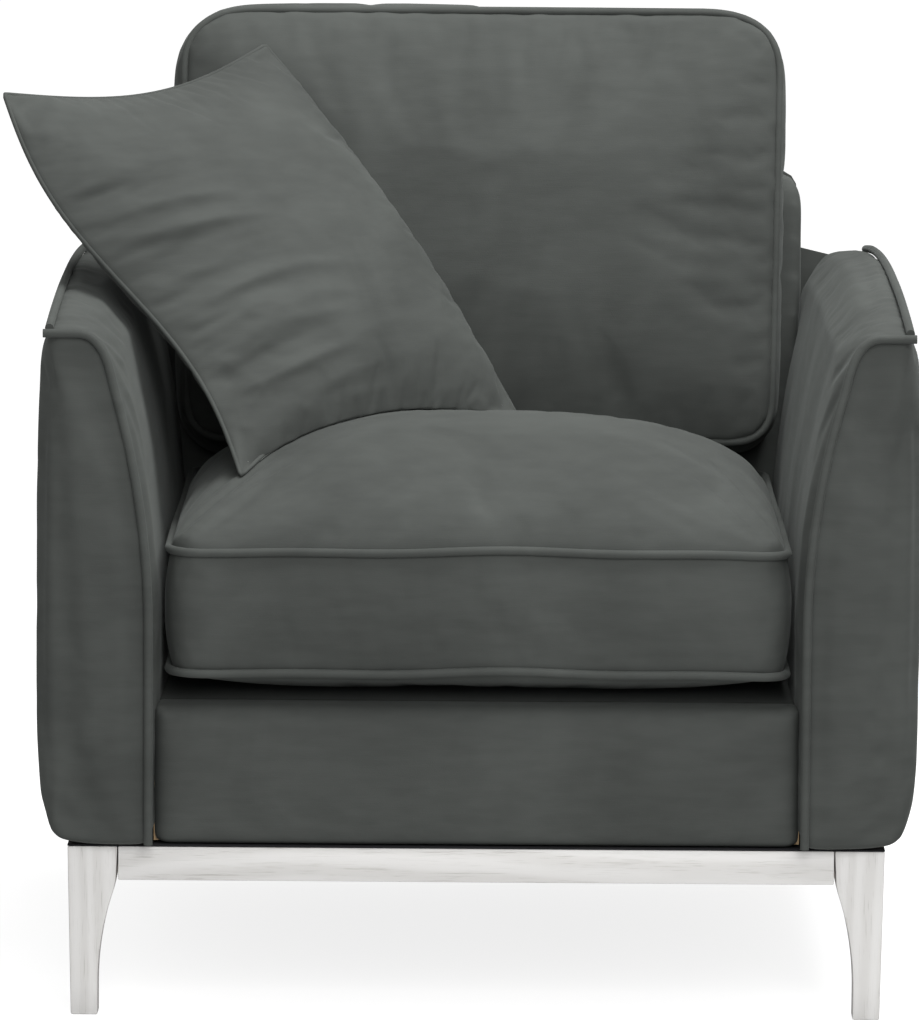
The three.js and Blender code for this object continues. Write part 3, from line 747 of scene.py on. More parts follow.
# ------------------------------------------------------------------ cloth
@dataclass(frozen=True)
class Stuffing:
    """How a cover is blown out over its filling by a short cloth simulation."""

    pressure: float = 4.0
    frames: int = 20
    slack: float = 0.004
    extra: float = 0.0
    stiffness: float = 12.0
    bending: float = 0.6
    most: float = 0.02

    def fill(
        self,
        piece: bpy.types.Object,
        held: Callable[[Vector], float],
        loose: Callable[[Vector], float] | None = None,
    ) -> None:
        """Runs the cloth on a piece and keeps its last shape.

        Args:
            piece: the cover, as one closed even mesh.
            held: how firmly a point is sewn down, from 0 to 1.
            loose: how much of the extra slack a point has, from 0 to 1.
        """
        start = [vertex.co.copy() for vertex in piece.data.vertices]
        group = piece.vertex_groups.new(name="sewn")
        for index, place in enumerate(start):
            group.add([index], held(place), "REPLACE")
        cloth = piece.modifiers.new("cloth", "CLOTH")
        settings = cloth.settings
        settings.quality = 5
        settings.mass = 0.3
        settings.tension_stiffness = settings.compression_stiffness = self.stiffness
        settings.shear_stiffness = self.stiffness / 2
        settings.bending_stiffness = self.bending
        settings.use_pressure = True
        settings.uniform_pressure_force = self.pressure
        settings.shrink_min = settings.shrink_max = -self.slack
        if loose is not None:
            spare = piece.vertex_groups.new(name="spare")
            for index, place in enumerate(start):
                spare.add([index], loose(place), "REPLACE")
            settings.vertex_group_shrink = spare.name
            settings.shrink_max = -self.slack - self.extra
        settings.vertex_group_mass = group.name
        settings.pin_stiffness = 5.0
        settings.effector_weights.gravity = 0.0
        cloth.collision_settings.use_collision = False
        cloth.collision_settings.use_self_collision = False
        cloth.point_cache.frame_start, cloth.point_cache.frame_end = 1, self.frames
        scene = bpy.context.scene
        for step in range(1, self.frames + 1):
            scene.frame_set(step)
        settle(piece)
        scene.frame_set(1)
        piece.vertex_groups.clear()
        shifts = [vertex.co - place for vertex, place in zip(piece.data.vertices, start)]
        kept = [shift * min(1.0, self.most / max(shift.length, 1e-9)) for shift in shifts]
        moved = [length for place, shift in zip(start, kept) for length in place + shift]
        piece.data.vertices.foreach_set("co", moved)
        piece.data.update()


@dataclass
class SeamLine:
    """A seam's route, with what it does to the cloth beside it."""

    path: list[Vector]
    spacing: float = 0.018
    depth: float = 0.0008
    reach: float = 0.045
    seed: float = 0.0

    def __post_init__(self) -> None:
        """Sorts the route's points for looking up, and measures how far along each one is."""
        self.tree = KDTree(len(self.path))
        for index, point in enumerate(self.path):
            self.tree.insert(point, index)
        self.tree.balance()
        steps = [0.0] + [(b - a).length for a, b in zip(self.path, self.path[1:])]
        self.walked = [sum(steps[: i + 1]) for i in range(len(steps))]

    def holds(self, close: float, far: float) -> Callable[[Vector], float]:
        """How firmly the seam holds a place: 1 within `close` of it, 0 beyond `far`."""
        return lambda place: max(0.0, min(1.0, (far - self.tree.find(place)[2]) / (far - close)))

    def pucker(self, place: Vector) -> float:
        """How far the cloth lifts at a place in the small puckers that run out from the seam."""
        _, index, distance = self.tree.find(place)
        fade = max(0.0, 1 - distance / self.reach) ** 2
        along = self.walked[index] / self.spacing
        return self.depth * fade * 2 * noise.noise(Vector((along, distance * 9, self.seed)))


# ------------------------------------------------------------------ dressing
def dress(piece: bpy.types.Object, material: bpy.types.Material) -> None:
    """Gives a piece one material."""
    piece.data.materials.clear()
    piece.data.materials.append(material)


def present(
    piece: bpy.types.Object,
    body: str,
    material: bpy.types.Material,
    slot: str,
    *nodes: str,
    fill: float | None = None,
) -> bpy.types.Object:
    """Finishes a piece: its material, its body and the CAD nodes that it stands for.

    Args:
        piece: the piece.
        body: the body that it moves with.
        material: its material.
        slot: not used.
        nodes: the CAD nodes that it replaces.
        fill: not used.

    Returns:
        The piece.
    """
    dress(piece, material)
    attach(piece, body)
    if nodes:
        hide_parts(*nodes)
    log.info("%s: %d faces, on %s", piece.name, len(piece.data.polygons), body)
    return piece


def stuff(
    cover: bpy.types.Object,
    name: str,
    inset: float,
    voxel: float,
    body: str,
    material: bpy.types.Material,
    slot: str,
    node: str,
    fill: float,
) -> bpy.types.Object:
    """Makes the filling that a cover is shaped by, just inside it.

    Args:
        cover: the finished cover.
        name: the filling's name.
        inset: how far inside the cover it lies.
        voxel: the size of its mesh.
        body: the body that it moves with.
        material: its material.
        slot: the record's material slot.
        node: the CAD node that it replaces.
        fill: how firm it is, from 0 to 1.

    Returns:
        The filling.
    """
    data = cover.data.copy()
    data.name = name
    piece = bpy.data.objects.new(name, data)
    bpy.context.scene.collection.objects.link(piece)
    reshape(piece, lambda place, normal: place - normal * inset)
    remesh(piece, voxel)
    soften(piece, 2)
    return present(piece, body, material, slot, node, fill=fill)


def dress_nodes(nodes: Iterable[str], material: bpy.types.Material) -> None:
    """Gives CAD nodes that keep their own shape a finished material."""
    for name in nodes:
        node = bpy.data.objects[name]
        if not node.material_slots:
            node.data.materials.append(material)
        for slot in node.material_slots:
            slot.material = material


# ------------------------------------------------------------------ leg frame
@dataclass
class LegFrame:
    """Four curved legs and four rails in limed oak, with corner braces inside."""

    wardrobe: Wardrobe
    arris: float = 0.0018
    shoulder: float = 0.030
    foot: float = 0.026
    rake: float = 0.003
    joint: float = 0.0006

    def leg(self, corner: str, x_in: int, y_in: int) -> None:
        """Builds one leg.

        Args:
            corner: the corner's name.
            x_in: +1 where the chair's middle is towards +X, or -1.
            y_in: +1 where the chair's middle is towards +Y, or -1.
        """
        node = f"leg_{corner}"
        box = Box.of(node)
        rail = Box.of("base_rail_front").lo.z
        edge = Vector((box.lo.x if x_in > 0 else box.hi.x, box.lo.y if y_in > 0 else box.hi.y, 0))
        width, top = box.size.x, box.hi.z
        mesh = bmesh.new()
        bmesh.ops.create_cube(mesh, size=1.0)
        bmesh.ops.scale(mesh, vec=(width, width, top), verts=mesh.verts)
        middle = edge + Vector((x_in * width / 2, y_in * width / 2, top / 2))
        bmesh.ops.translate(mesh, vec=middle, verts=mesh.verts)
        levels = [self.shoulder + (rail - self.shoulder) * i / 12 for i in range(13)]
        slice_along(mesh, Vector((0, 0, 1)), levels)
        for vertex in mesh.verts:
            for axis, way in ((0, x_in), (1, y_in)):
                inner = abs(vertex.co[axis] - edge[axis]) > width / 2
                inward = self.across(vertex.co.z, inner, width, rail, top)
                vertex.co[axis] = edge[axis] + way * inward
        corners = [e for e in mesh.edges if e.calc_face_angle(0.0) > math.radians(50)]
        round_edges(mesh, corners, self.arris, 2)
        piece = new_object(f"oak_leg_{corner}", mesh)
        smooth_by_angle(piece)
        present(piece, "chair", self.wardrobe.oak[Grain.ALONG_Z], "oak", node)

    def across(self, z: float, inner: bool, width: float, rail: float, top: float) -> float:
        """How far a leg's face is from its outer top corner.

        Args:
            z: height above the floor.
            inner: whether it is the inner face.
            width: the leg's width at the rail.
            rail: height of the rail's underside.
            top: height of the leg's top.

        Returns:
            The distance, towards the middle of the chair.
        """
        outer = self.rake * (1 - z / top)
        if not inner:
            return outer
        if z >= rail:
            return width
        foot = self.rake + self.foot
        share = max(0.0, (z - self.shoulder) / (rail - self.shoulder))
        return foot + (width - foot) * share**2

    def rail(self, side: str, grain: Grain) -> None:
        """Builds one rail between two legs, with a hairline gap at each joint."""
        node = f"base_rail_{side}"
        box = Box.of(node)
        mesh = bmesh.new()
        bmesh.ops.create_cube(mesh, size=1.0)
        along = 0 if grain is Grain.ALONG_X else 1
        size = box.size.copy()
        size[along] -= 2 * self.joint
        bmesh.ops.scale(mesh, vec=size, verts=mesh.verts)
        bmesh.ops.translate(mesh, vec=box.middle, verts=mesh.verts)
        round_edges(mesh, mesh.edges[:], self.arris * 0.6, 2)
        piece = new_object(f"oak_rail_{side}", mesh)
        smooth_by_angle(piece)
        present(piece, "chair", self.wardrobe.oak[grain], "oak", node)

    def build(self) -> None:
        """Builds the whole leg frame."""
        for corner in ("front_left", "front_right", "rear_left", "rear_right"):
            self.leg(corner, 1 if "left" in corner else -1, 1 if "front" in corner else -1)
            dress_nodes([f"corner_brace_{corner}"], self.wardrobe.pine[Grain.ALONG_Y])
        for side in ("front", "rear"):
            self.rail(side, Grain.ALONG_X)
        for side in ("left", "right"):
            self.rail(side, Grain.ALONG_Y)


def smooth_by_angle(piece: bpy.types.Object, degrees: float = 35.0) -> None:
    """Shades a piece smooth except across its sharp edges."""
    piece.data.polygons.foreach_set("use_smooth", [True] * len(piece.data.polygons))
    piece.data.set_sharp_from_angle(angle=math.radians(degrees))


# ------------------------------------------------------------------ inside the body
@dataclass
class Carcass:
    """The timber, springs, webbing and stretched cloths that the covers hide."""

    wardrobe: Wardrobe
    cloth: float = 0.0016
    ripple: float = 0.0009
    cells: int = 72

    def build(self) -> None:
        """Dresses the inner CAD nodes, and stretches the deck and the dust cover."""
        w = self.wardrobe
        dress_nodes(["seat_rail_front", "seat_rail_rear", "back_top_rail"], w.pine[Grain.ALONG_X])
        dress_nodes(["seat_rail_left", "seat_rail_right"], w.pine[Grain.ALONG_Y])
        dress_nodes(["back_post_left", "back_post_right"], w.pine[Grain.ALONG_Z])
        for hand in Hand:
            rails = [f"arm_top_rail_{hand.word}", f"arm_base_rail_{hand.word}"]
            boards = [f"arm_front_board_{hand.word}", f"arm_rear_board_{hand.word}"]
            dress_nodes(rails, w.pine[Grain.ALONG_Y])
            dress_nodes(boards, w.ply)
        nodes = list(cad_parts)
        dress_nodes([n for n in nodes if n.startswith("zigzag_spring")], w.steel)
        dress_nodes([n for n in nodes if n.startswith("back_webbing")], w.webbing)
        self.sheet("velvet_seat_deck", "seat_deck", 0.004, w.velvet, "velvet")
        self.sheet("lining_dust_cover", "dust_cover", 0.003, w.lining, "lining")

    def sheet(
        self, name: str, node: str, sag: float, material: bpy.types.Material, slot: str
    ) -> None:
        """Stretches a cloth panel between its rails.

        Args:
            name: the panel's name.
            node: the CAD node that it replaces.
            sag: how far its middle hangs.
            material: its material.
            slot: the record's material slot.
        """
        box = Box.of(node)
        mesh = bmesh.new()
        bmesh.ops.create_grid(mesh, x_segments=self.cells, y_segments=self.cells, size=0.5)
        bmesh.ops.scale(mesh, vec=(box.size.x, box.size.y, 1.0), verts=mesh.verts)
        for vertex in mesh.verts:
            u, v = 2 * vertex.co.x / box.size.x, 2 * vertex.co.y / box.size.y
            dish = (1 - u * u) * (1 - v * v)
            vertex.co.z = -sag * dish + self.ripple * noise.noise(Vector((u * 5, v * 3, 0))) * dish
        bmesh.ops.translate(mesh, vec=(box.middle.x, box.middle.y, box.hi.z), verts=mesh.verts)
        bmesh.ops.solidify(mesh, geom=mesh.faces[:], thickness=min(self.cloth, box.size.z))
        bmesh.ops.recalc_face_normals(mesh, faces=mesh.faces)
        piece = new_object(name, mesh)
        present(piece, "chair", material, slot, node)


# ------------------------------------------------------------------ arms
@dataclass
class Arm:
    """A padded arm: flared inside, rounded shoulder, piped facing and outer top edge."""

    wardrobe: Wardrobe
    hand: Hand
    flare_start: float = 0.380
    flare_end: float = 0.640
    flare: float = 0.034
    shoulder_share: float = 0.55
    edge_in: float = 0.007
    hem_radius: float = 0.019
    front_top: float = 0.667
    rear_top: float = 0.674
    crest_setback: float = 0.430
    facing_radius: float = 0.011
    outer_fall: float = 0.006
    nub: float = 0.006
    voxel: float = 0.0075
    box: Box = field(init=False)

    def __post_init__(self) -> None:
        """Takes the arm's place from its CAD cover."""
        self.box = Box.of(f"arm_cover_{self.hand.word}")

    @property
    def inner(self) -> float:
        """How far the inner face is from the centre line at the deck."""
        return min(abs(self.box.lo.x - CENTRE_X), abs(self.box.hi.x - CENTRE_X))

    @property
    def outer(self) -> float:
        """How far the outer face is from the centre line at its widest."""
        return max(abs(self.box.lo.x - CENTRE_X), abs(self.box.hi.x - CENTRE_X))

    def top_at(self, y: float) -> float:
        """The height of the arm's top at a distance back from its front."""
        crest, from_crest = self.box.hi.z, y - self.crest_setback
        if from_crest < 0:
            return crest - (crest - self.front_top) * (from_crest / self.crest_setback) ** 2
        fall = self.box.size.y - self.crest_setback
        return crest - (crest - self.rear_top) * (from_crest / fall) ** 2

    def lowered(self, z: float, y: float) -> float:
        """The height that a point of the section has at a distance back from the front."""
        crest = self.box.hi.z
        share = min(1.0, max(0.0, (z - self.flare_start) / (crest - self.flare_start)))
        return z - share * (crest - self.top_at(y))

    def outer_drop(self, across: float, z: float, y: float) -> float:
        """How far the top slopes down towards its outer edge, from nothing at the front."""
        inner = self.inner + self.flare
        share = min(1.0, max(0.0, (across - inner) / (self.outer - inner)))
        high = min(1.0, max(0.0, (z - self.flare_end + 0.06) / 0.08))
        along = min(1.0, y / (0.7 * self.crest_setback))
        return self.outer_fall * share**2 * high * along

    def section(self, inset: float = 0.0) -> list[Vector]:
        """The arm's outline at its crest, as (distance from the centre line, 0, height).

        Args:
            inset: how far inside the cover's outside.

        Returns:
            Its points, from the inner foot over the top to the outer hem.
        """
        low, crest = self.box.lo.z + inset, self.box.hi.z - inset
        inner, outer = self.inner + inset, self.outer - inset
        inner_top, edge = inner + self.flare, outer - self.edge_in
        shoulder = inner_top + (edge - inner_top) * self.shoulder_share
        waist = (self.box.lo.z + self.box.hi.z) / 2
        hem = self.hem_radius
        at = lambda across, up: Vector((across, 0.0, up))
        points = [at(inner, low + (self.flare_start - low) * i / 8) for i in range(9)]
        middle = (self.flare_start + self.flare_end) / 2
        points += curve_points(points[-1], at(inner, middle), at(inner_top, self.flare_end), 10)
        turn = at(inner_top + self.flare / 4, crest)
        points += curve_points(points[-1], turn, at(shoulder, crest), 10)
        points += [at(edge, crest)]
        points += curve_points(points[-1], at(outer, crest - 3 * hem), at(outer, waist), 10)
        points += curve_points(points[-1], at(outer, low + 2 * hem), at(edge, low + hem), 8)
        points += curve_points(points[-1], at(edge, low), at(edge - hem, low), 5)
        return points

    def place(self, point: Vector, y: float) -> Vector:
        """Puts a point of the section at a distance back from the front."""
        side = self.hand.value
        height = self.lowered(point.z, y) - self.outer_drop(point.x, point.z, y)
        return Vector((CENTRE_X + side * point.x, self.box.lo.y + y, height))

    def body(self) -> None:
        """Builds the padded arm itself."""
        side, length = self.hand.value, self.box.size.y
        outline = [Vector((CENTRE_X + side * p.x, self.box.lo.y, p.z)) for p in self.section()]
        mesh = outline_prism(outline, Vector((0, length, 0)))
        stations = [self.box.lo.y + length * i / 24 for i in range(1, 24)]
        slice_along(mesh, Vector((0, 1, 0)), stations)
        for vertex in mesh.verts:
            back, z = vertex.co.y - self.box.lo.y, vertex.co.z
            drop = self.outer_drop(abs(vertex.co.x - CENTRE_X), z, back)
            vertex.co.z = self.lowered(z, back) - drop
        front = [e for e in mesh.edges if all(abs(v.co.y - self.box.lo.y) < 1e-5 for v in e.verts)]
        wrapped = [e for e in front if self.is_wrapped(e)]
        round_edges(mesh, wrapped, self.facing_radius, 4)
        bmesh.ops.recalc_face_normals(mesh, faces=mesh.faces)
        piece = new_object(f"velvet_arm_{self.hand.word}", mesh)
        remesh(piece, self.voxel)
        soften(piece, 4)
        seam = SeamLine(sum(self.piping_paths(), []), depth=0.0011, reach=0.05)
        stuffing = Stuffing(pressure=2.2, slack=0.003, frames=14, most=0.006)
        stuffing.fill(piece, seam.holds(0.008, 0.022))
        reshape(piece, lambda place, normal: self.hand_finished(place, normal, seam))
        refine(piece)
        word, w = self.hand.word, self.wardrobe
        present(piece, "chair", w.velvet, "velvet", f"arm_cover_{word}", fill=0.9)
        node = f"arm_padding_{word}"
        stuff(piece, f"foam_arm_{word}", 0.010, 0.013, "chair", w.foam, "foam", node, 0.95)

    def is_wrapped(self, edge: bmesh.types.BMEdge) -> bool:
        """Whether the cover wraps round a front edge without a seam: outside and at the hem."""
        across = sum(abs(v.co.x - CENTRE_X) for v in edge.verts) / 2
        height = sum(v.co.z for v in edge.verts) / 2
        return across > self.outer - 2 * self.edge_in and height < self.front_top - 0.004

    def hand_finished(self, place: Vector, normal: Vector, seam: SeamLine) -> Vector:
        """Adds the slight unevenness of padding under a stretched cover, and the seam's puckers."""
        wave = noise.noise(place * 7.0) * 0.0022 + noise.noise(place * 19.0) * 0.0007
        low = min(1.0, max(0.0, (place.z - self.box.lo.z) / 0.03))
        return place + normal * (wave * low + seam.pucker(place))

    def piping_paths(self) -> tuple[list[Vector], list[Vector]]:
        """The routes of the welts: up the facing to the outer corner, and back along the top."""
        clear = WELT_RADIUS * 0.55
        edge = self.outer - self.edge_in - WELT_RADIUS * 0.6
        front: list[Vector] = []
        for point in self.section(WELT_RADIUS * 0.6):
            front.append(self.place(point, -clear))
            if point.x >= edge - 1e-4:
                break
        outward = Vector((self.hand.value, 0, 0))
        front.append(front[-1] + outward * self.nub)
        top = self.box.hi.z + clear
        back = [self.place(Vector((edge, 0, top)), self.box.size.y * i / 40) for i in range(41)]
        return evenly(front, 0.006, False), evenly(back, 0.006, False)

    def piping(self) -> None:
        """Builds the welts."""
        cords = [tube("cord", path, WELT_RADIUS, False) for path in self.piping_paths()]
        piece = joined(f"velvet_piping_{self.hand.word}", *cords)
        nodes = [f"arm_piping_{self.hand.word}"]
        present(piece, "chair", self.wardrobe.velvet, "velvet", *nodes)

    def build(self) -> None:
        """Builds the arm and its welt."""
        self.body()
        self.piping()


# ------------------------------------------------------------------ front border
@dataclass
class FrontBorder:
    """The padded border under the seat cushion."""

    wardrobe: Wardrobe
    top_radius: float = 0.016
    swell: float = 0.004
    unevenness: float = 0.0012
    voxel: float = 0.006

    def build(self) -> None:
        """Builds the border."""
        box = Box.of("front_border_cover")
        mesh = bmesh.new()
        bmesh.ops.create_cube(mesh, size=1.0)
        bmesh.ops.scale(mesh, vec=box.size, verts=mesh.verts)
        bmesh.ops.translate(mesh, vec=box.middle, verts=mesh.verts)
        front = [e for e in mesh.edges if all(v.co.y < box.middle.y for v in e.verts)]
        upper = [e for e in front if all(v.co.z > box.middle.z for v in e.verts)]
        upright = [e for e in front if abs(e.verts[0].co.z - e.verts[1].co.z) > box.size.z / 2]
        round_edges(mesh, upper + upright, self.top_radius, 5)
        piece = new_object("velvet_front_border", mesh)
        remesh(piece, self.voxel)
        soften(piece, 3)
        reshape(piece, lambda place, normal: self.padded_out(box, place, normal))
        refine(piece)
        w = self.wardrobe
        present(piece, "chair", w.velvet, "velvet", "front_border_cover", fill=0.8)
        node = "front_border_padding"
        stuff(piece, "foam_front_border", 0.011, 0.01, "chair", w.foam, "foam", node, 0.9)

    def padded_out(self, box: Box, place: Vector, normal: Vector) -> Vector:
        """Swells the face a little between its edges."""
        u = (place.x - box.middle.x) / (box.size.x / 2)
        v = (place.z - box.lo.z) / box.size.z
        facing = max(0.0, -normal.y)
        swell = self.swell * max(0.0, 1 - u**6) * max(0.0, 4 * v * (1 - v)) * facing
        wave = noise.noise(place * 9.0) * self.unevenness * facing
        return place + Vector((0, -swell - wave, 0))


# ------------------------------------------------------------------ fixed back
@dataclass
class FixedBack:
    """The padded back that the back cushion leans on, and the outside back behind it."""

    wardrobe: Wardrobe
    shoulder_half: float = 0.345
    shoulder_top: float = 0.656
    rim: float = 0.0016
    voxel: float = 0.007

    def inside(self) -> None:
        """Builds the padded inside back from its CAD cover, filled in and softened."""
        node = bpy.data.objects["back_cover"]
        mesh = bmesh.new()
        mesh.from_mesh(node.data)
        bmesh.ops.remove_doubles(mesh, verts=mesh.verts, dist=1e-5)
        result = bmesh.ops.convex_hull(mesh, input=mesh.verts[:])
        spare = set(result["geom_interior"] + result["geom_unused"])
        loose = [item for item in spare if isinstance(item, bmesh.types.BMVert)]
        bmesh.ops.delete(mesh, geom=loose, context="VERTS")
        piece = new_object("velvet_inside_back", mesh)
        remesh(piece, self.voxel)
        soften(piece, 5)
        reshape(piece, lambda place, normal: place + normal * noise.noise(place * 9.0) * 0.0012)
        refine(piece)
        w = self.wardrobe
        present(piece, "chair", w.velvet, "velvet", "back_cover", fill=0.8)
        stuff(piece, "foam_back", 0.007, 0.013, "chair", w.foam, "foam", "back_padding", 0.9)

    def outside(self) -> None:
        """Builds the outside back panel."""
        node = bpy.data.objects["outside_back"]
        mesh = bmesh.new()
        mesh.from_mesh(node.data)
        bmesh.ops.remove_doubles(mesh, verts=mesh.verts, dist=1e-5)
        bmesh.ops.dissolve_limit(mesh, angle_limit=0.01, verts=mesh.verts, edges=mesh.edges)
        for vertex in mesh.verts:
            if abs(vertex.co.x - CENTRE_X) > self.shoulder_half:
                vertex.co.z = min(vertex.co.z, self.shoulder_top)
        behind = Box.of("outside_back").middle.y
        sharp = [e for e in mesh.edges if e.calc_face_angle(0.0) > 1.0]
        rear = [e for e in sharp if all(v.co.y > behind for v in e.verts)]
        round_edges(mesh, rear, self.rim, 3)
        piece = new_object("velvet_outside_back", mesh)
        smooth_by_angle(piece)
        present(piece, "chair", self.wardrobe.velvet, "velvet", "outside_back")

    def build(self) -> None:
        """Builds both sides of the back."""
        self.inside()
        self.outside()


# ------------------------------------------------------------------ zips
def box_line(node: str) -> list[Vector]:
    """The line along the middle of a CAD node's box, from its low to its high X."""
    box, count = Box.of(node), 40
    places = [box.lo.x + box.size.x * i / count for i in range(count + 1)]
    return [Vector((x, box.middle.y, box.middle.z)) for x in places]


@dataclass
class Zip:
    """A zip sewn into a cover: its tape, a coil along the middle and a slider with a pull."""

    wardrobe: Wardrobe
    tape: float = 0.024
    lift: float = 0.0008
    coil: float = 0.0016
    wire: float = 0.00045
    pitch: float = 0.0016
    slide: tuple[float, float, float] = (0.009, 0.0075, 0.004)
    pull: tuple[float, float, float] = (0.022, 0.006, 0.0012)
    pull_at: tuple[float, float, float] = (0.012, 0.0, 0.0028)

    def sew(
        self, name: str, body: str, node: str, path: list[Vector], cover: bpy.types.Object
    ) -> None:
        """Lays the zip on a cover.

        Args:
            name: the piece's name.
            body: the body that it moves with.
            node: the CAD node that it replaces.
            path: the line that it follows, near the cover.
            cover: the cover.
        """
        surface, count = surface_of(cover), len(path) - 1
        tangent = (path[-1] - path[0]).normalized()
        mesh = bmesh.new()
        bmesh.ops.create_grid(mesh, x_segments=count, y_segments=4, size=0.5)
        for vertex in mesh.verts:
            along = self.spot(path, vertex.co.x)
            spot, normal, _, _ = surface.find_nearest(along)
            across = normal.cross(tangent)
            spot, normal, _, _ = surface.find_nearest(spot + across * (vertex.co.y * self.tape))
            vertex.co = spot + normal * self.lift
        bmesh.ops.solidify(mesh, geom=mesh.faces[:], thickness=0.0005)
        bmesh.ops.recalc_face_normals(mesh, faces=mesh.faces)
        tape = new_object("tape", mesh)
        rails = []
        for point in path:
            spot, normal, _, _ = surface.find_nearest(point)
            rails.append((spot + normal * (self.lift + self.coil), normal))
        piece = joined(name, tape, self.teeth(rails), self.slider(rails[count // 12], tangent))
        present(piece, body, self.wardrobe.zip, "zip", node)

    def spot(self, path: list[Vector], share: float) -> Vector:
        """The place on a path at a share of its length, counted from -0.5 to 0.5."""
        along = (share + 0.5) * (len(path) - 1)
        i = min(int(along), len(path) - 2)
        return path[i].lerp(path[i + 1], along - i)

    def teeth(self, rails: list[tuple[Vector, Vector]]) -> bpy.types.Object:
        """Winds the coil along the tape's middle."""
        points: list[Vector] = []
        for (a, up), (b, _) in zip(rails, rails[1:]):
            forward = (b - a).normalized()
            side = up.cross(forward)
            turns = max(1, round((b - a).length / self.pitch))
            for i in range(turns * 6):
                angle = math.tau * i / 6
                ring = side * math.cos(angle) * 1.3 + up * math.sin(angle) * 0.7
                points.append(a.lerp(b, i / (turns * 6)) + ring * self.coil)
        return tube("coil", points, self.wire, False, 0)

    def slider(self, rail: tuple[Vector, Vector], forward: Vector) -> bpy.types.Object:
        """Builds the slider and its pull."""
        place, up = rail
        side = up.cross(forward).normalized()
        turn = Matrix((forward, side, up)).transposed().to_4x4()
        mesh = bmesh.new()
        parts = ((self.slide, Vector()), (self.pull, self.pull_at))
        for size, middle in parts:
            made = bmesh.ops.create_cube(mesh, size=1.0)["verts"]
            bmesh.ops.scale(mesh, vec=size, verts=made)
            bmesh.ops.translate(mesh, vec=middle, verts=made)
        round_edges(mesh, mesh.edges[:], 0.0005, 2)
        bmesh.ops.transform(mesh, matrix=Matrix.Translation(place) @ turn, verts=mesh.verts)
        return new_object("slider", mesh)


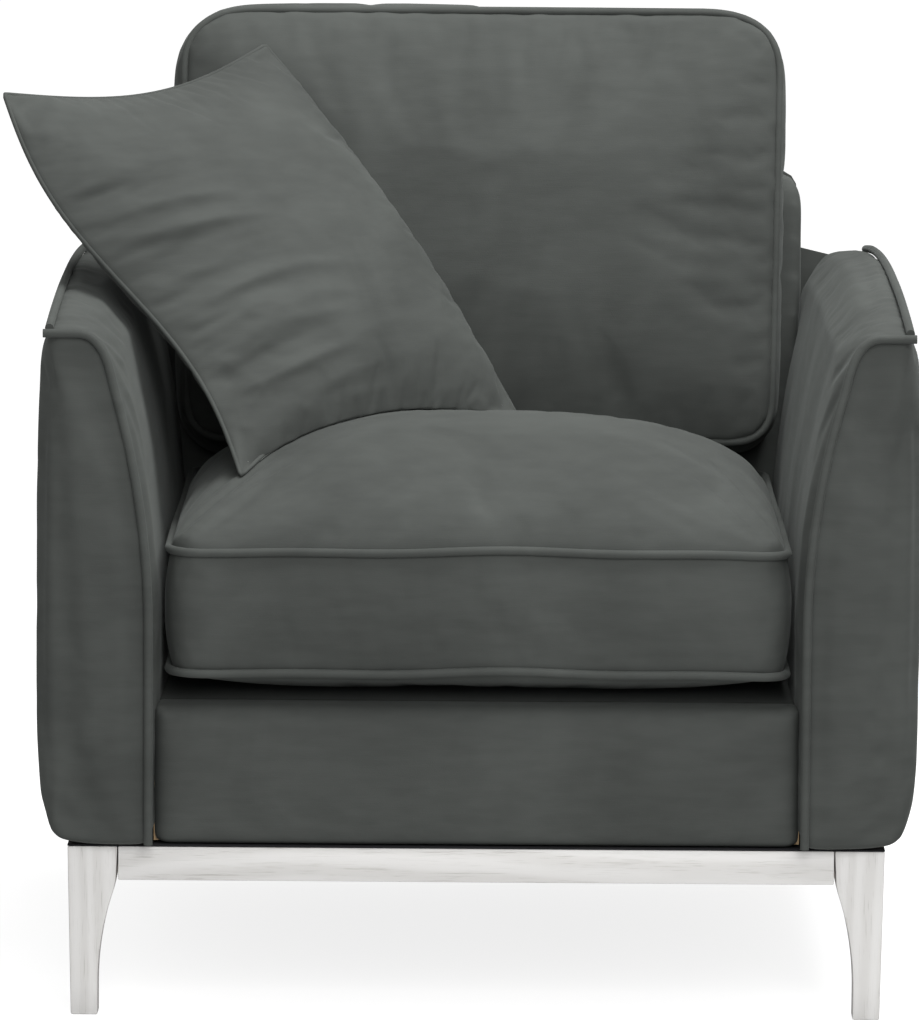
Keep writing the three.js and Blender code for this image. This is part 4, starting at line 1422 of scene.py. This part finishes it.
# ------------------------------------------------------------------ seat cushion
@dataclass
class SeatCushion:
    """The loose seat cushion: crowned top, boxed sides, hanging belly, a welt on each seam."""

    wardrobe: Wardrobe
    crown: float = 0.098
    belly: float = 0.028
    bulge: float = 0.006
    corner: float = 0.034
    fall: float = 0.32
    voxel: float = 0.007
    box: Box = field(init=False)

    def __post_init__(self) -> None:
        """Takes the cushion's place from its CAD welts."""
        self.box = Box.of("seat_cushion_piping_top", "seat_cushion_piping_bottom")

    @property
    def seams(self) -> tuple[float, float]:
        """The heights of the lower and upper seams."""
        return (
            Box.of("seat_cushion_piping_bottom").middle.z,
            Box.of("seat_cushion_piping_top").middle.z,
        )

    def seam(self, height: float, outset: float = 0.0) -> list[Vector]:
        """The route of a seam.

        Args:
            height: its height.
            outset: how far outside the cover's seam.

        Returns:
            Evenly spaced points round the cushion.
        """
        inset = 2 * WELT_RADIUS - outset
        half_x, half_y = self.box.size.x / 2 - inset, self.box.size.y / 2 - inset
        path = rounded_rectangle(half_x, half_y, self.corner, 0.006)
        middle = self.box.middle
        return [Vector((p.x + middle.x, p.y + middle.y, height + self.wander(p))) for p in path]

    def wander(self, place: Vector) -> float:
        """The small rise and fall of a hand-sewn seam."""
        slow = math.sin(place.x * 13 + 1.0)
        quick = math.sin(place.x * 31 + place.y * 17)
        return 0.0016 * slow + 0.0010 * quick

    def build(self) -> None:
        """Builds the cushion and its welts."""
        low, high = self.seams
        outline = [Vector((p.x, p.y, low)) for p in self.seam(low)[::2]]
        mesh = outline_prism(outline, Vector((0, 0, high - low)))
        self.dome(mesh, low, high)
        piece = new_object("velvet_seat_cushion", mesh)
        remesh(piece, self.voxel)
        soften(piece, 2)
        seams = SeamLine(self.seam(low) + self.seam(high), depth=0.0006, reach=0.05, seed=2.0)
        sewn = seams.holds(0.006, 0.016)
        Stuffing(pressure=2.0, slack=0.0025, frames=20, most=0.010).fill(piece, sewn)
        reshape(piece, lambda place, normal: place + normal * seams.pucker(place))
        refine(piece)
        w = self.wardrobe
        present(piece, "seat_cushion", w.velvet, "velvet", "seat_cushion_cover", fill=0.8)
        node = "seat_cushion_core"
        stuff(piece, "foam_seat", 0.008, 0.013, "seat_cushion", w.foam, "foam", node, 0.9)
        node = "seat_cushion_zip"
        Zip(w).sew("zip_seat", "seat_cushion", node, box_line(node), piece)
        for name, height in (("top", high), ("bottom", low)):
            path = self.seam(height, WELT_RADIUS * 0.5)
            welt = tube(f"velvet_seat_welt_{name}", path, WELT_RADIUS, True)
            node = f"seat_cushion_piping_{name}"
            present(welt, "seat_cushion", self.wardrobe.velvet, "velvet", node)

    def dome(self, mesh: bmesh.types.BMesh, low: float, high: float) -> None:
        """Cuts the box into a fine grid and shapes its top, belly and sides.

        Args:
            mesh: the boxed cushion.
            low: height of the lower seam.
            high: height of the upper seam.
        """
        box = self.box
        columns = [box.lo.x + box.size.x * i / 40 for i in range(1, 40)]
        rows = [box.lo.y + box.size.y * i / 40 for i in range(1, 40)]
        slice_along(mesh, Vector((1, 0, 0)), columns)
        slice_along(mesh, Vector((0, 1, 0)), rows)
        slice_along(mesh, Vector((0, 0, 1)), [low + (high - low) * i / 8 for i in range(1, 8)])
        middle = box.middle
        for vertex in mesh.verts:
            place = vertex.co.copy()
            u = (place.x - middle.x) / (box.size.x / 2 - 2 * WELT_RADIUS)
            v = (place.y - middle.y) / (box.size.y / 2 - 2 * WELT_RADIUS)
            if place.z > high - 1e-5:
                vertex.co.z = high + self.rise(u, v, place)
            elif place.z < low + 1e-5:
                sag = max(0.0, 1 - abs(u) ** 4) ** 0.5 * max(0.0, 1 - abs(v) ** 4) ** 0.5
                vertex.co.z = low - self.belly * sag
            else:
                share = (place.z - low) / (high - low)
                out = self.bulge * 4 * share * (1 - share)
                way = Vector((u**9, v**9, 0))
                if way.length > 1e-6:
                    vertex.co += way.normalized() * out

    def rise(self, u: float, v: float, place: Vector) -> float:
        """The height of the crown above the upper seam.

        Args:
            u: from -1 at the left side to 1 at the right.
            v: from -1 at the front to 1 at the rear.
            place: not used.

        Returns:
            The height.
        """
        across = max(0.0, 1 - abs(u) ** 2.5) ** 0.42
        front = max(0.0, 1 - abs(min(v, 0.0)) ** 3.0) ** 0.42
        start = 1 - 2 * self.fall / self.box.size.y
        behind = min(1.0, max(0.0, (v - start) / (1 - start)))
        back = 1 - (behind * behind * (1.6 - 0.6 * behind))
        back = max(0.0, min(1.0, 1 - 1.02 * behind)) * 0.55 + back * 0.45
        return self.crown * across * front * max(0.0, back)


# ------------------------------------------------------------------ back cushion
@dataclass
class BackCushion:
    """The loose back cushion: a crowned face, soft boxing and a welt round each face."""

    wardrobe: Wardrobe
    recline: float = math.radians(10)
    thickness: float = 0.150
    crown: float = 0.040
    low_half: float = 0.298
    top_half: float = 0.304
    height: float = 0.438
    lean: float = 0.008
    low_corner: float = 0.040
    top_corner: float = 0.060
    voxel: float = 0.007
    frame_at: Matrix = field(init=False)

    def __post_init__(self) -> None:
        """Works out the cushion's own frame from its rear welt: z up its rear face."""
        rear = Box.of("back_cushion_piping_rear")
        turn = Matrix.Rotation(-self.recline, 4, "X")
        reach = turn @ Vector((0, 0, -2 * WELT_RADIUS - 0.001))
        foot = Vector((CENTRE_X, rear.lo.y, rear.lo.z))
        low_front = turn @ Vector((0, -2 * WELT_RADIUS, 0))
        origin = foot - Vector((0, low_front.y + reach.y, reach.z))
        self.frame_at = Matrix.Translation(origin) @ turn

    def face(self, outset: float = 0.0) -> list[Vector]:
        """The face's outline, in the cushion's own frame, at its rear plane."""
        low, top = self.low_half + outset, self.top_half + outset
        foot, head = -outset, self.height + outset
        at = lambda x, z: Vector((x, 0.0, z))
        lc, tc = self.low_corner + outset, self.top_corner + outset
        path = [at(-low + lc, foot), at(low - lc, foot)]
        path += curve_points(path[-1], at(low, foot), at(low, foot + lc), 8)
        path += [at(top, head - tc)]
        path += curve_points(path[-1], at(top, head), at(top - tc * 1.25, head), 10)
        path += [at(-top + tc * 1.25, head)]
        path += curve_points(path[-1], at(-top, head), at(-top, head - tc), 10)
        path += [at(-low, foot + lc)]
        path += curve_points(path[-1], at(-low, foot), at(-low + lc, foot), 8)
        return evenly(path[:-1], 0.006, True)

    def seam(self, depth: float, outset: float) -> list[Vector]:
        """A seam's route in the row frame, at a depth in front of the rear plane."""
        moved = [p + Vector((0, self.wander(p) - depth, 0)) for p in self.face(outset)]
        return [self.frame_at @ place for place in moved]

    def wander(self, place: Vector) -> float:
        """The small unevenness of a sewn seam."""
        return 0.0014 * math.sin(place.x * 11 + place.z * 9)

    def build(self) -> None:
        """Builds the cushion and its welts."""
        mesh = outline_prism(self.face()[::2], Vector((0, -self.thickness, 0)))
        across = [self.top_half * i / 20 for i in range(-19, 20)]
        slice_along(mesh, Vector((1, 0, 0)), across)
        slice_along(mesh, Vector((0, 0, 1)), [self.height * i / 30 for i in range(1, 30)])
        slice_along(mesh, Vector((0, 1, 0)), [-self.thickness * i / 8 for i in range(1, 8)])
        for vertex in mesh.verts:
            vertex.co = self.shaped(vertex.co.copy())
        bmesh.ops.transform(mesh, matrix=self.frame_at, verts=mesh.verts)
        bmesh.ops.recalc_face_normals(mesh, faces=mesh.faces)
        piece = new_object("velvet_back_cushion", mesh)
        remesh(piece, self.voxel)
        soften(piece, 2)
        depth = self.thickness - WELT_RADIUS
        seams = self.seam(depth, 0.0) + self.seam(WELT_RADIUS, 0.0)
        line = SeamLine(seams, depth=0.0010, reach=0.055, seed=5.0)
        stuffing = Stuffing(pressure=2.0, slack=0.007, frames=20, most=0.012)
        stuffing.fill(piece, line.holds(0.006, 0.016))
        reshape(piece, lambda place, normal: place + normal * line.pucker(place))
        refine(piece)
        w = self.wardrobe
        present(piece, "back_cushion", w.velvet, "velvet", "back_cushion_cover", fill=0.75)
        node = "back_cushion_core"
        stuff(piece, "fibre_back", 0.008, 0.013, "back_cushion", w.fibre, "fibre", node, 0.75)
        node = "back_cushion_zip"
        Zip(w).sew("zip_back", "back_cushion", node, box_line(node), piece)
        for name, at in (("front", depth), ("rear", WELT_RADIUS)):
            path = self.seam(at, WELT_RADIUS * 0.6)
            welt = tube(f"velvet_back_welt_{name}", path, WELT_RADIUS, True)
            node = f"back_cushion_piping_{name}"
            present(welt, "back_cushion", self.wardrobe.velvet, "velvet", node)

    def shaped(self, place: Vector) -> Vector:
        """Crowns the front face and swells the boxing; the rear face stays flat."""
        u = place.x / self.top_half
        w = (place.z - self.height / 2) / (self.height / 2)
        full = max(0.0, 1 - abs(u) ** 2.6) ** 0.6 * max(0.0, 1 - abs(w) ** 2.6) ** 0.6
        depth = -place.y / self.thickness
        if depth > 0.999:
            return place + Vector((0, -self.crown * full, 0))
        if depth < 0.001:
            return place
        out = 0.010 * 4 * depth * (1 - depth) + (self.lean * (1 - depth) if u < 0 else 0.0)
        way = Vector((u**9, 0, w**9))
        return place + way.normalized() * out if way.length > 1e-6 else place


# ------------------------------------------------------------------ scatter cushion
@dataclass(frozen=True)
class Bow:
    """How an edge leaves the straight line between its corners, outwards."""

    middle: float = 0.0
    sway: float = 0.0

    def at(self, share: float) -> float:
        """How far out the edge is at a share of its length."""
        return self.middle * math.sin(math.pi * share) + self.sway * math.sin(2 * math.pi * share)


@dataclass
class ScatterCushion:
    """The knife-edged cushion that lies across the left corner."""

    wardrobe: Wardrobe
    upper_left: Vector = field(default_factory=lambda: Vector((-0.470, 0.26, 0.873)))
    upper_right: Vector = field(default_factory=lambda: Vector((-0.223, 0.58, 0.902)))
    lower_right: Vector = field(default_factory=lambda: Vector((0.040, 0.45, 0.533)))
    lower_left: Vector = field(default_factory=lambda: Vector((-0.229, 0.12, 0.507)))
    top: Bow = Bow(-0.030)
    right: Bow = Bow(0.021)
    bottom: Bow = Bow(-0.016)
    left: Bow = Bow(-0.002, -0.024)
    width: float = 0.42
    height: float = 0.46
    half_thickness: float = 0.062
    seam_radius: float = 0.0022
    rim: float = 0.004

    def __post_init__(self) -> None:
        """Places the corners in the row frame and finds the cushion's directions."""
        origin = Vector((CENTRE_X, FRONT_Y, 0))
        for name in ("upper_left", "upper_right", "lower_right", "lower_left"):
            setattr(self, name, getattr(self, name) + origin)
        across = (self.lower_right - self.lower_left) + (self.upper_right - self.upper_left)
        rise = (self.upper_left - self.lower_left) + (self.upper_right - self.lower_right)
        self.across, self.rise = across.normalized(), rise.normalized()
        self.facing = self.across.cross(self.rise).normalized()

    def spread(self, s: float, t: float) -> Vector:
        """The place on the cushion's middle sheet at shares s across and t up."""
        corners = (self.lower_left, self.lower_right, self.upper_left, self.upper_right)
        low = corners[0].lerp(corners[1], s) - self.rise * self.bottom.at(s)
        high = corners[2].lerp(corners[3], s) + self.rise * self.top.at(s)
        left = corners[0].lerp(corners[2], t) - self.across * self.left.at(t)
        right = corners[1].lerp(corners[3], t) + self.across * self.right.at(t)
        flat = corners[0].lerp(corners[1], s).lerp(corners[2].lerp(corners[3], s), t)
        return low.lerp(high, t) + left.lerp(right, s) - flat

    def laid(self, local: Vector) -> Vector:
        """Takes a point from the cushion's flat pattern to where the cushion lies."""
        s, t = local.x / self.width + 0.5, local.y / self.height + 0.5
        return self.spread(s, t) + self.facing * local.z

    def creases(self, local: Vector) -> float:
        """The folds that run in from the left edge, as a height."""
        s, t = local.x / self.width + 0.5, local.y / self.height + 0.5
        edge = min(1.0, max(0.0, s / 0.05)) * math.exp(-((s / 0.36) ** 2))
        band = max(0.0, 1 - ((t - 0.42) / 0.46) ** 2)
        bent = t + 0.10 * (s - 0.3) ** 2
        fold = 1 - abs(2.2 * noise.noise(Vector((s * 2.4, bent * 15, 3.1))))
        fine = noise.noise(Vector((s * 4.0, bent * 38, 8.4)))
        return edge * band * (0.0088 * (fold - 0.55) + 0.0042 * fine)

    def shell(self) -> bpy.types.Object:
        """Builds the stuffed cover on its flat pattern."""
        mesh = bmesh.new()
        bmesh.ops.create_grid(mesh, x_segments=84, y_segments=92, size=0.5)
        bmesh.ops.scale(mesh, vec=(self.width, self.height, 1.0), verts=mesh.verts)
        bmesh.ops.solidify(mesh, geom=mesh.faces[:], thickness=self.rim)
        bmesh.ops.recalc_face_normals(mesh, faces=mesh.faces)
        middle = sum(v.co.z for v in mesh.verts) / len(mesh.verts)
        for vertex in mesh.verts:
            side = 1 if vertex.co.z > middle else -1
            u, v = 2 * vertex.co.x / self.width, 2 * vertex.co.y / self.height
            full = max(0.0, 1 - abs(u) ** 2.1) ** 0.62 * max(0.0, 1 - abs(v) ** 2.1) ** 0.62
            rise = self.half_thickness * full * 0.9
            vertex.co.z = side * (self.rim / 2 + rise)
        return new_object("velvet_scatter_cushion", mesh)

    def rim_at(self, place: Vector) -> float:
        """1 at the sewn rim and 0 a little way in."""
        u, v = abs(2 * place.x / self.width), abs(2 * place.y / self.height)
        return max(0.0, min(1.0, (max(u, v) - 0.975) / 0.02))

    def left_fullness(self, place: Vector) -> float:
        """How much spare cloth there is: most along the left edge."""
        return max(0.0, min(1.0, 0.75 - (place.x / self.width + 0.5) * 1.9))

    def rim_line(self) -> list[Vector]:
        """The sewn rim's route where the cushion lies."""
        there = [i / 60 for i in range(60)]
        back = [1 - share for share in there]
        low, right = [(s, 0.0) for s in there], [(1.0, t) for t in there]
        high, left = [(s, 1.0) for s in back], [(0.0, t) for t in back]
        return [self.spread(s, t) for s, t in low + right + high + left]

    def build(self, *neighbours: bpy.types.Object) -> None:
        """Builds the cushion, its seam, its filling and its zip.

        Args:
            neighbours: the pieces that it rests on or against.
        """
        surfaces = [surface_of(piece) for piece in neighbours]
        cover = self.shell()
        spare = dict(slack=0.022, extra=0.05, most=0.03)
        stuffing = Stuffing(pressure=5.0, frames=24, bending=0.2, **spare)
        stuffing.fill(cover, self.rim_at, self.left_fullness)
        reshape(cover, self.creased)
        filling = bpy.data.objects.new("fibre_scatter", cover.data.copy())
        bpy.context.scene.collection.objects.link(filling)
        shrink = Vector((0.93, 0.93, 0.86))
        reshape(filling, lambda place, _: self.laid(place * shrink))
        reshape(cover, lambda place, _: self.laid(place))
        refine(cover)
        reshape(cover, lambda place, _: clear_of(place, surfaces, 0.0012))
        reshape(filling, lambda place, _: clear_of(place, surfaces, 0.005))
        w, body = self.wardrobe, "scatter_cushion"
        present(cover, body, w.velvet, "velvet", "scatter_cushion_cover", fill=0.6)
        present(filling, body, w.fibre, "fibre", "scatter_cushion_filling", fill=0.6)
        path = [clear_of(place, surfaces, self.seam_radius) for place in self.rim_line()]
        seam = tube("velvet_scatter_seam", evenly(path, 0.005, True), self.seam_radius, True, 2)
        present(seam, body, w.velvet, "velvet")
        behind = self.facing * 0.01 + self.rise * 0.006
        line = [self.spread(0.18 + 0.64 * i / 40, 1.0) - behind for i in range(41)]
        Zip(w, tape=0.016).sew("zip_scatter", body, "scatter_cushion_zip", line, cover)

    def creased(self, place: Vector, normal: Vector) -> Vector:
        """Adds the folds to the flat pattern's front."""
        return place + Vector((0, 0, self.creases(place) if place.z > 0 else 0.0))


# ------------------------------------------------------------------ studio
@dataclass
class Studio:
    """A pale floor, soft lights and the camera."""

    distance: float = 7.0
    eye_height: float = 1.40
    aim_height: float = 0.489
    lens: float = 259.6
    shift_x: float = -0.0187
    shift_y: float = 0.0065
    roll: float = math.radians(0.42)
    floor_glow: float = 0.82
    sky_strength: float = 0.42

    def floor(self) -> None:
        """Lays a wide pale floor."""
        mesh = bmesh.new()
        bmesh.ops.create_grid(mesh, x_segments=1, y_segments=1, size=60.0)
        piece = new_object("studio_floor", mesh)
        made = bpy.data.materials.new("studio_floor")
        made.use_nodes = True
        shader = Shader(made.node_tree)
        pale = shader.add("BsdfDiffuse", Color=(0.5, 0.5, 0.5, 1.0))
        glow = shader.add("Emission", Color=(1.0, 1.0, 1.0, 1.0), Strength=self.floor_glow)
        both = shader.add("AddShader")
        either = shader.add("MixShader", Fac=shader.add("LightPath").outputs["Is Camera Ray"])
        shader.tree.links.new(pale.outputs[0], both.inputs[0])
        shader.tree.links.new(glow.outputs[0], both.inputs[1])
        shader.tree.links.new(pale.outputs[0], either.inputs[1])
        shader.tree.links.new(both.outputs[0], either.inputs[2])
        shader.add("OutputMaterial", Surface=either.outputs[0])
        dress(piece, made)

    def lamp(self, name: str, place: Vector, aim: Vector, size: float, power: float) -> None:
        """Hangs one square soft light.

        Args:
            name: the light's name.
            place: where it hangs.
            aim: what it points at.
            size: the length of its side.
            power: its power in watts.
        """
        data = bpy.data.lights.new(name, "AREA")
        data.shape, data.size, data.energy = "SQUARE", size, power
        lamp = bpy.data.objects.new(name, data)
        lamp.location = place
        lamp.rotation_euler = (aim - place).to_track_quat("-Z", "Y").to_euler()
        bpy.context.scene.collection.objects.link(lamp)

    def sky(self) -> None:
        """Surrounds the scene with even white light."""
        world = bpy.context.scene.world or bpy.data.worlds.new("studio")
        bpy.context.scene.world = world
        world.use_nodes = True
        shader = Shader(world.node_tree)
        glow = shader.add("Background", Color=(1.0, 1.0, 1.0, 1.0), Strength=self.sky_strength)
        shader.add("OutputWorld", Surface=glow.outputs[0])

    def camera(self) -> None:
        """Sets the camera at the chair's front, a little above it."""
        data = bpy.data.cameras.new("camera")
        data.sensor_width, data.lens = 36.0, self.lens
        data.shift_x, data.shift_y = self.shift_x, self.shift_y
        data.clip_end = 200.0
        camera = bpy.data.objects.new("camera", data)
        eye = Vector((CENTRE_X, FRONT_Y - self.distance, self.eye_height))
        aim = Vector((CENTRE_X, FRONT_Y, self.aim_height))
        camera.location = eye
        turn = (aim - eye).to_track_quat("-Z", "Y").to_matrix().to_4x4()
        camera.rotation_euler = (turn @ Matrix.Rotation(self.roll, 4, "Z")).to_euler()
        bpy.context.scene.collection.objects.link(camera)
        bpy.context.scene.camera = camera

    def build(self) -> None:
        """Sets up the whole studio."""
        self.floor()
        self.sky()
        chair = Vector((CENTRE_X, 0.0, 0.5))
        self.lamp("overhead", Vector((CENTRE_X + 0.75, -0.35, 3.2)), chair, 1.8, 96.0)
        self.lamp("front", Vector((CENTRE_X + 0.5, -4.0, 2.2)), chair, 2.4, 84.0)
        self.camera()
        bpy.context.scene.view_settings.view_transform = "Standard"


def main() -> None:
    """Builds the chair and its studio."""
    logging.basicConfig(level=logging.INFO, format="%(name)s: %(message)s")
    wardrobe = Wardrobe()
    Studio().build()
    LegFrame(wardrobe).build()
    Carcass(wardrobe).build()
    for hand in Hand:
        Arm(wardrobe, hand).build()
    FrontBorder(wardrobe).build()
    FixedBack(wardrobe).build()
    SeatCushion(wardrobe).build()
    BackCushion(wardrobe).build()
    touching = ("velvet_arm_left", "velvet_seat_cushion", "velvet_back_cushion")
    ScatterCushion(wardrobe).build(*(bpy.data.objects[name] for name in touching))


if __name__ == "__main__":
    main()
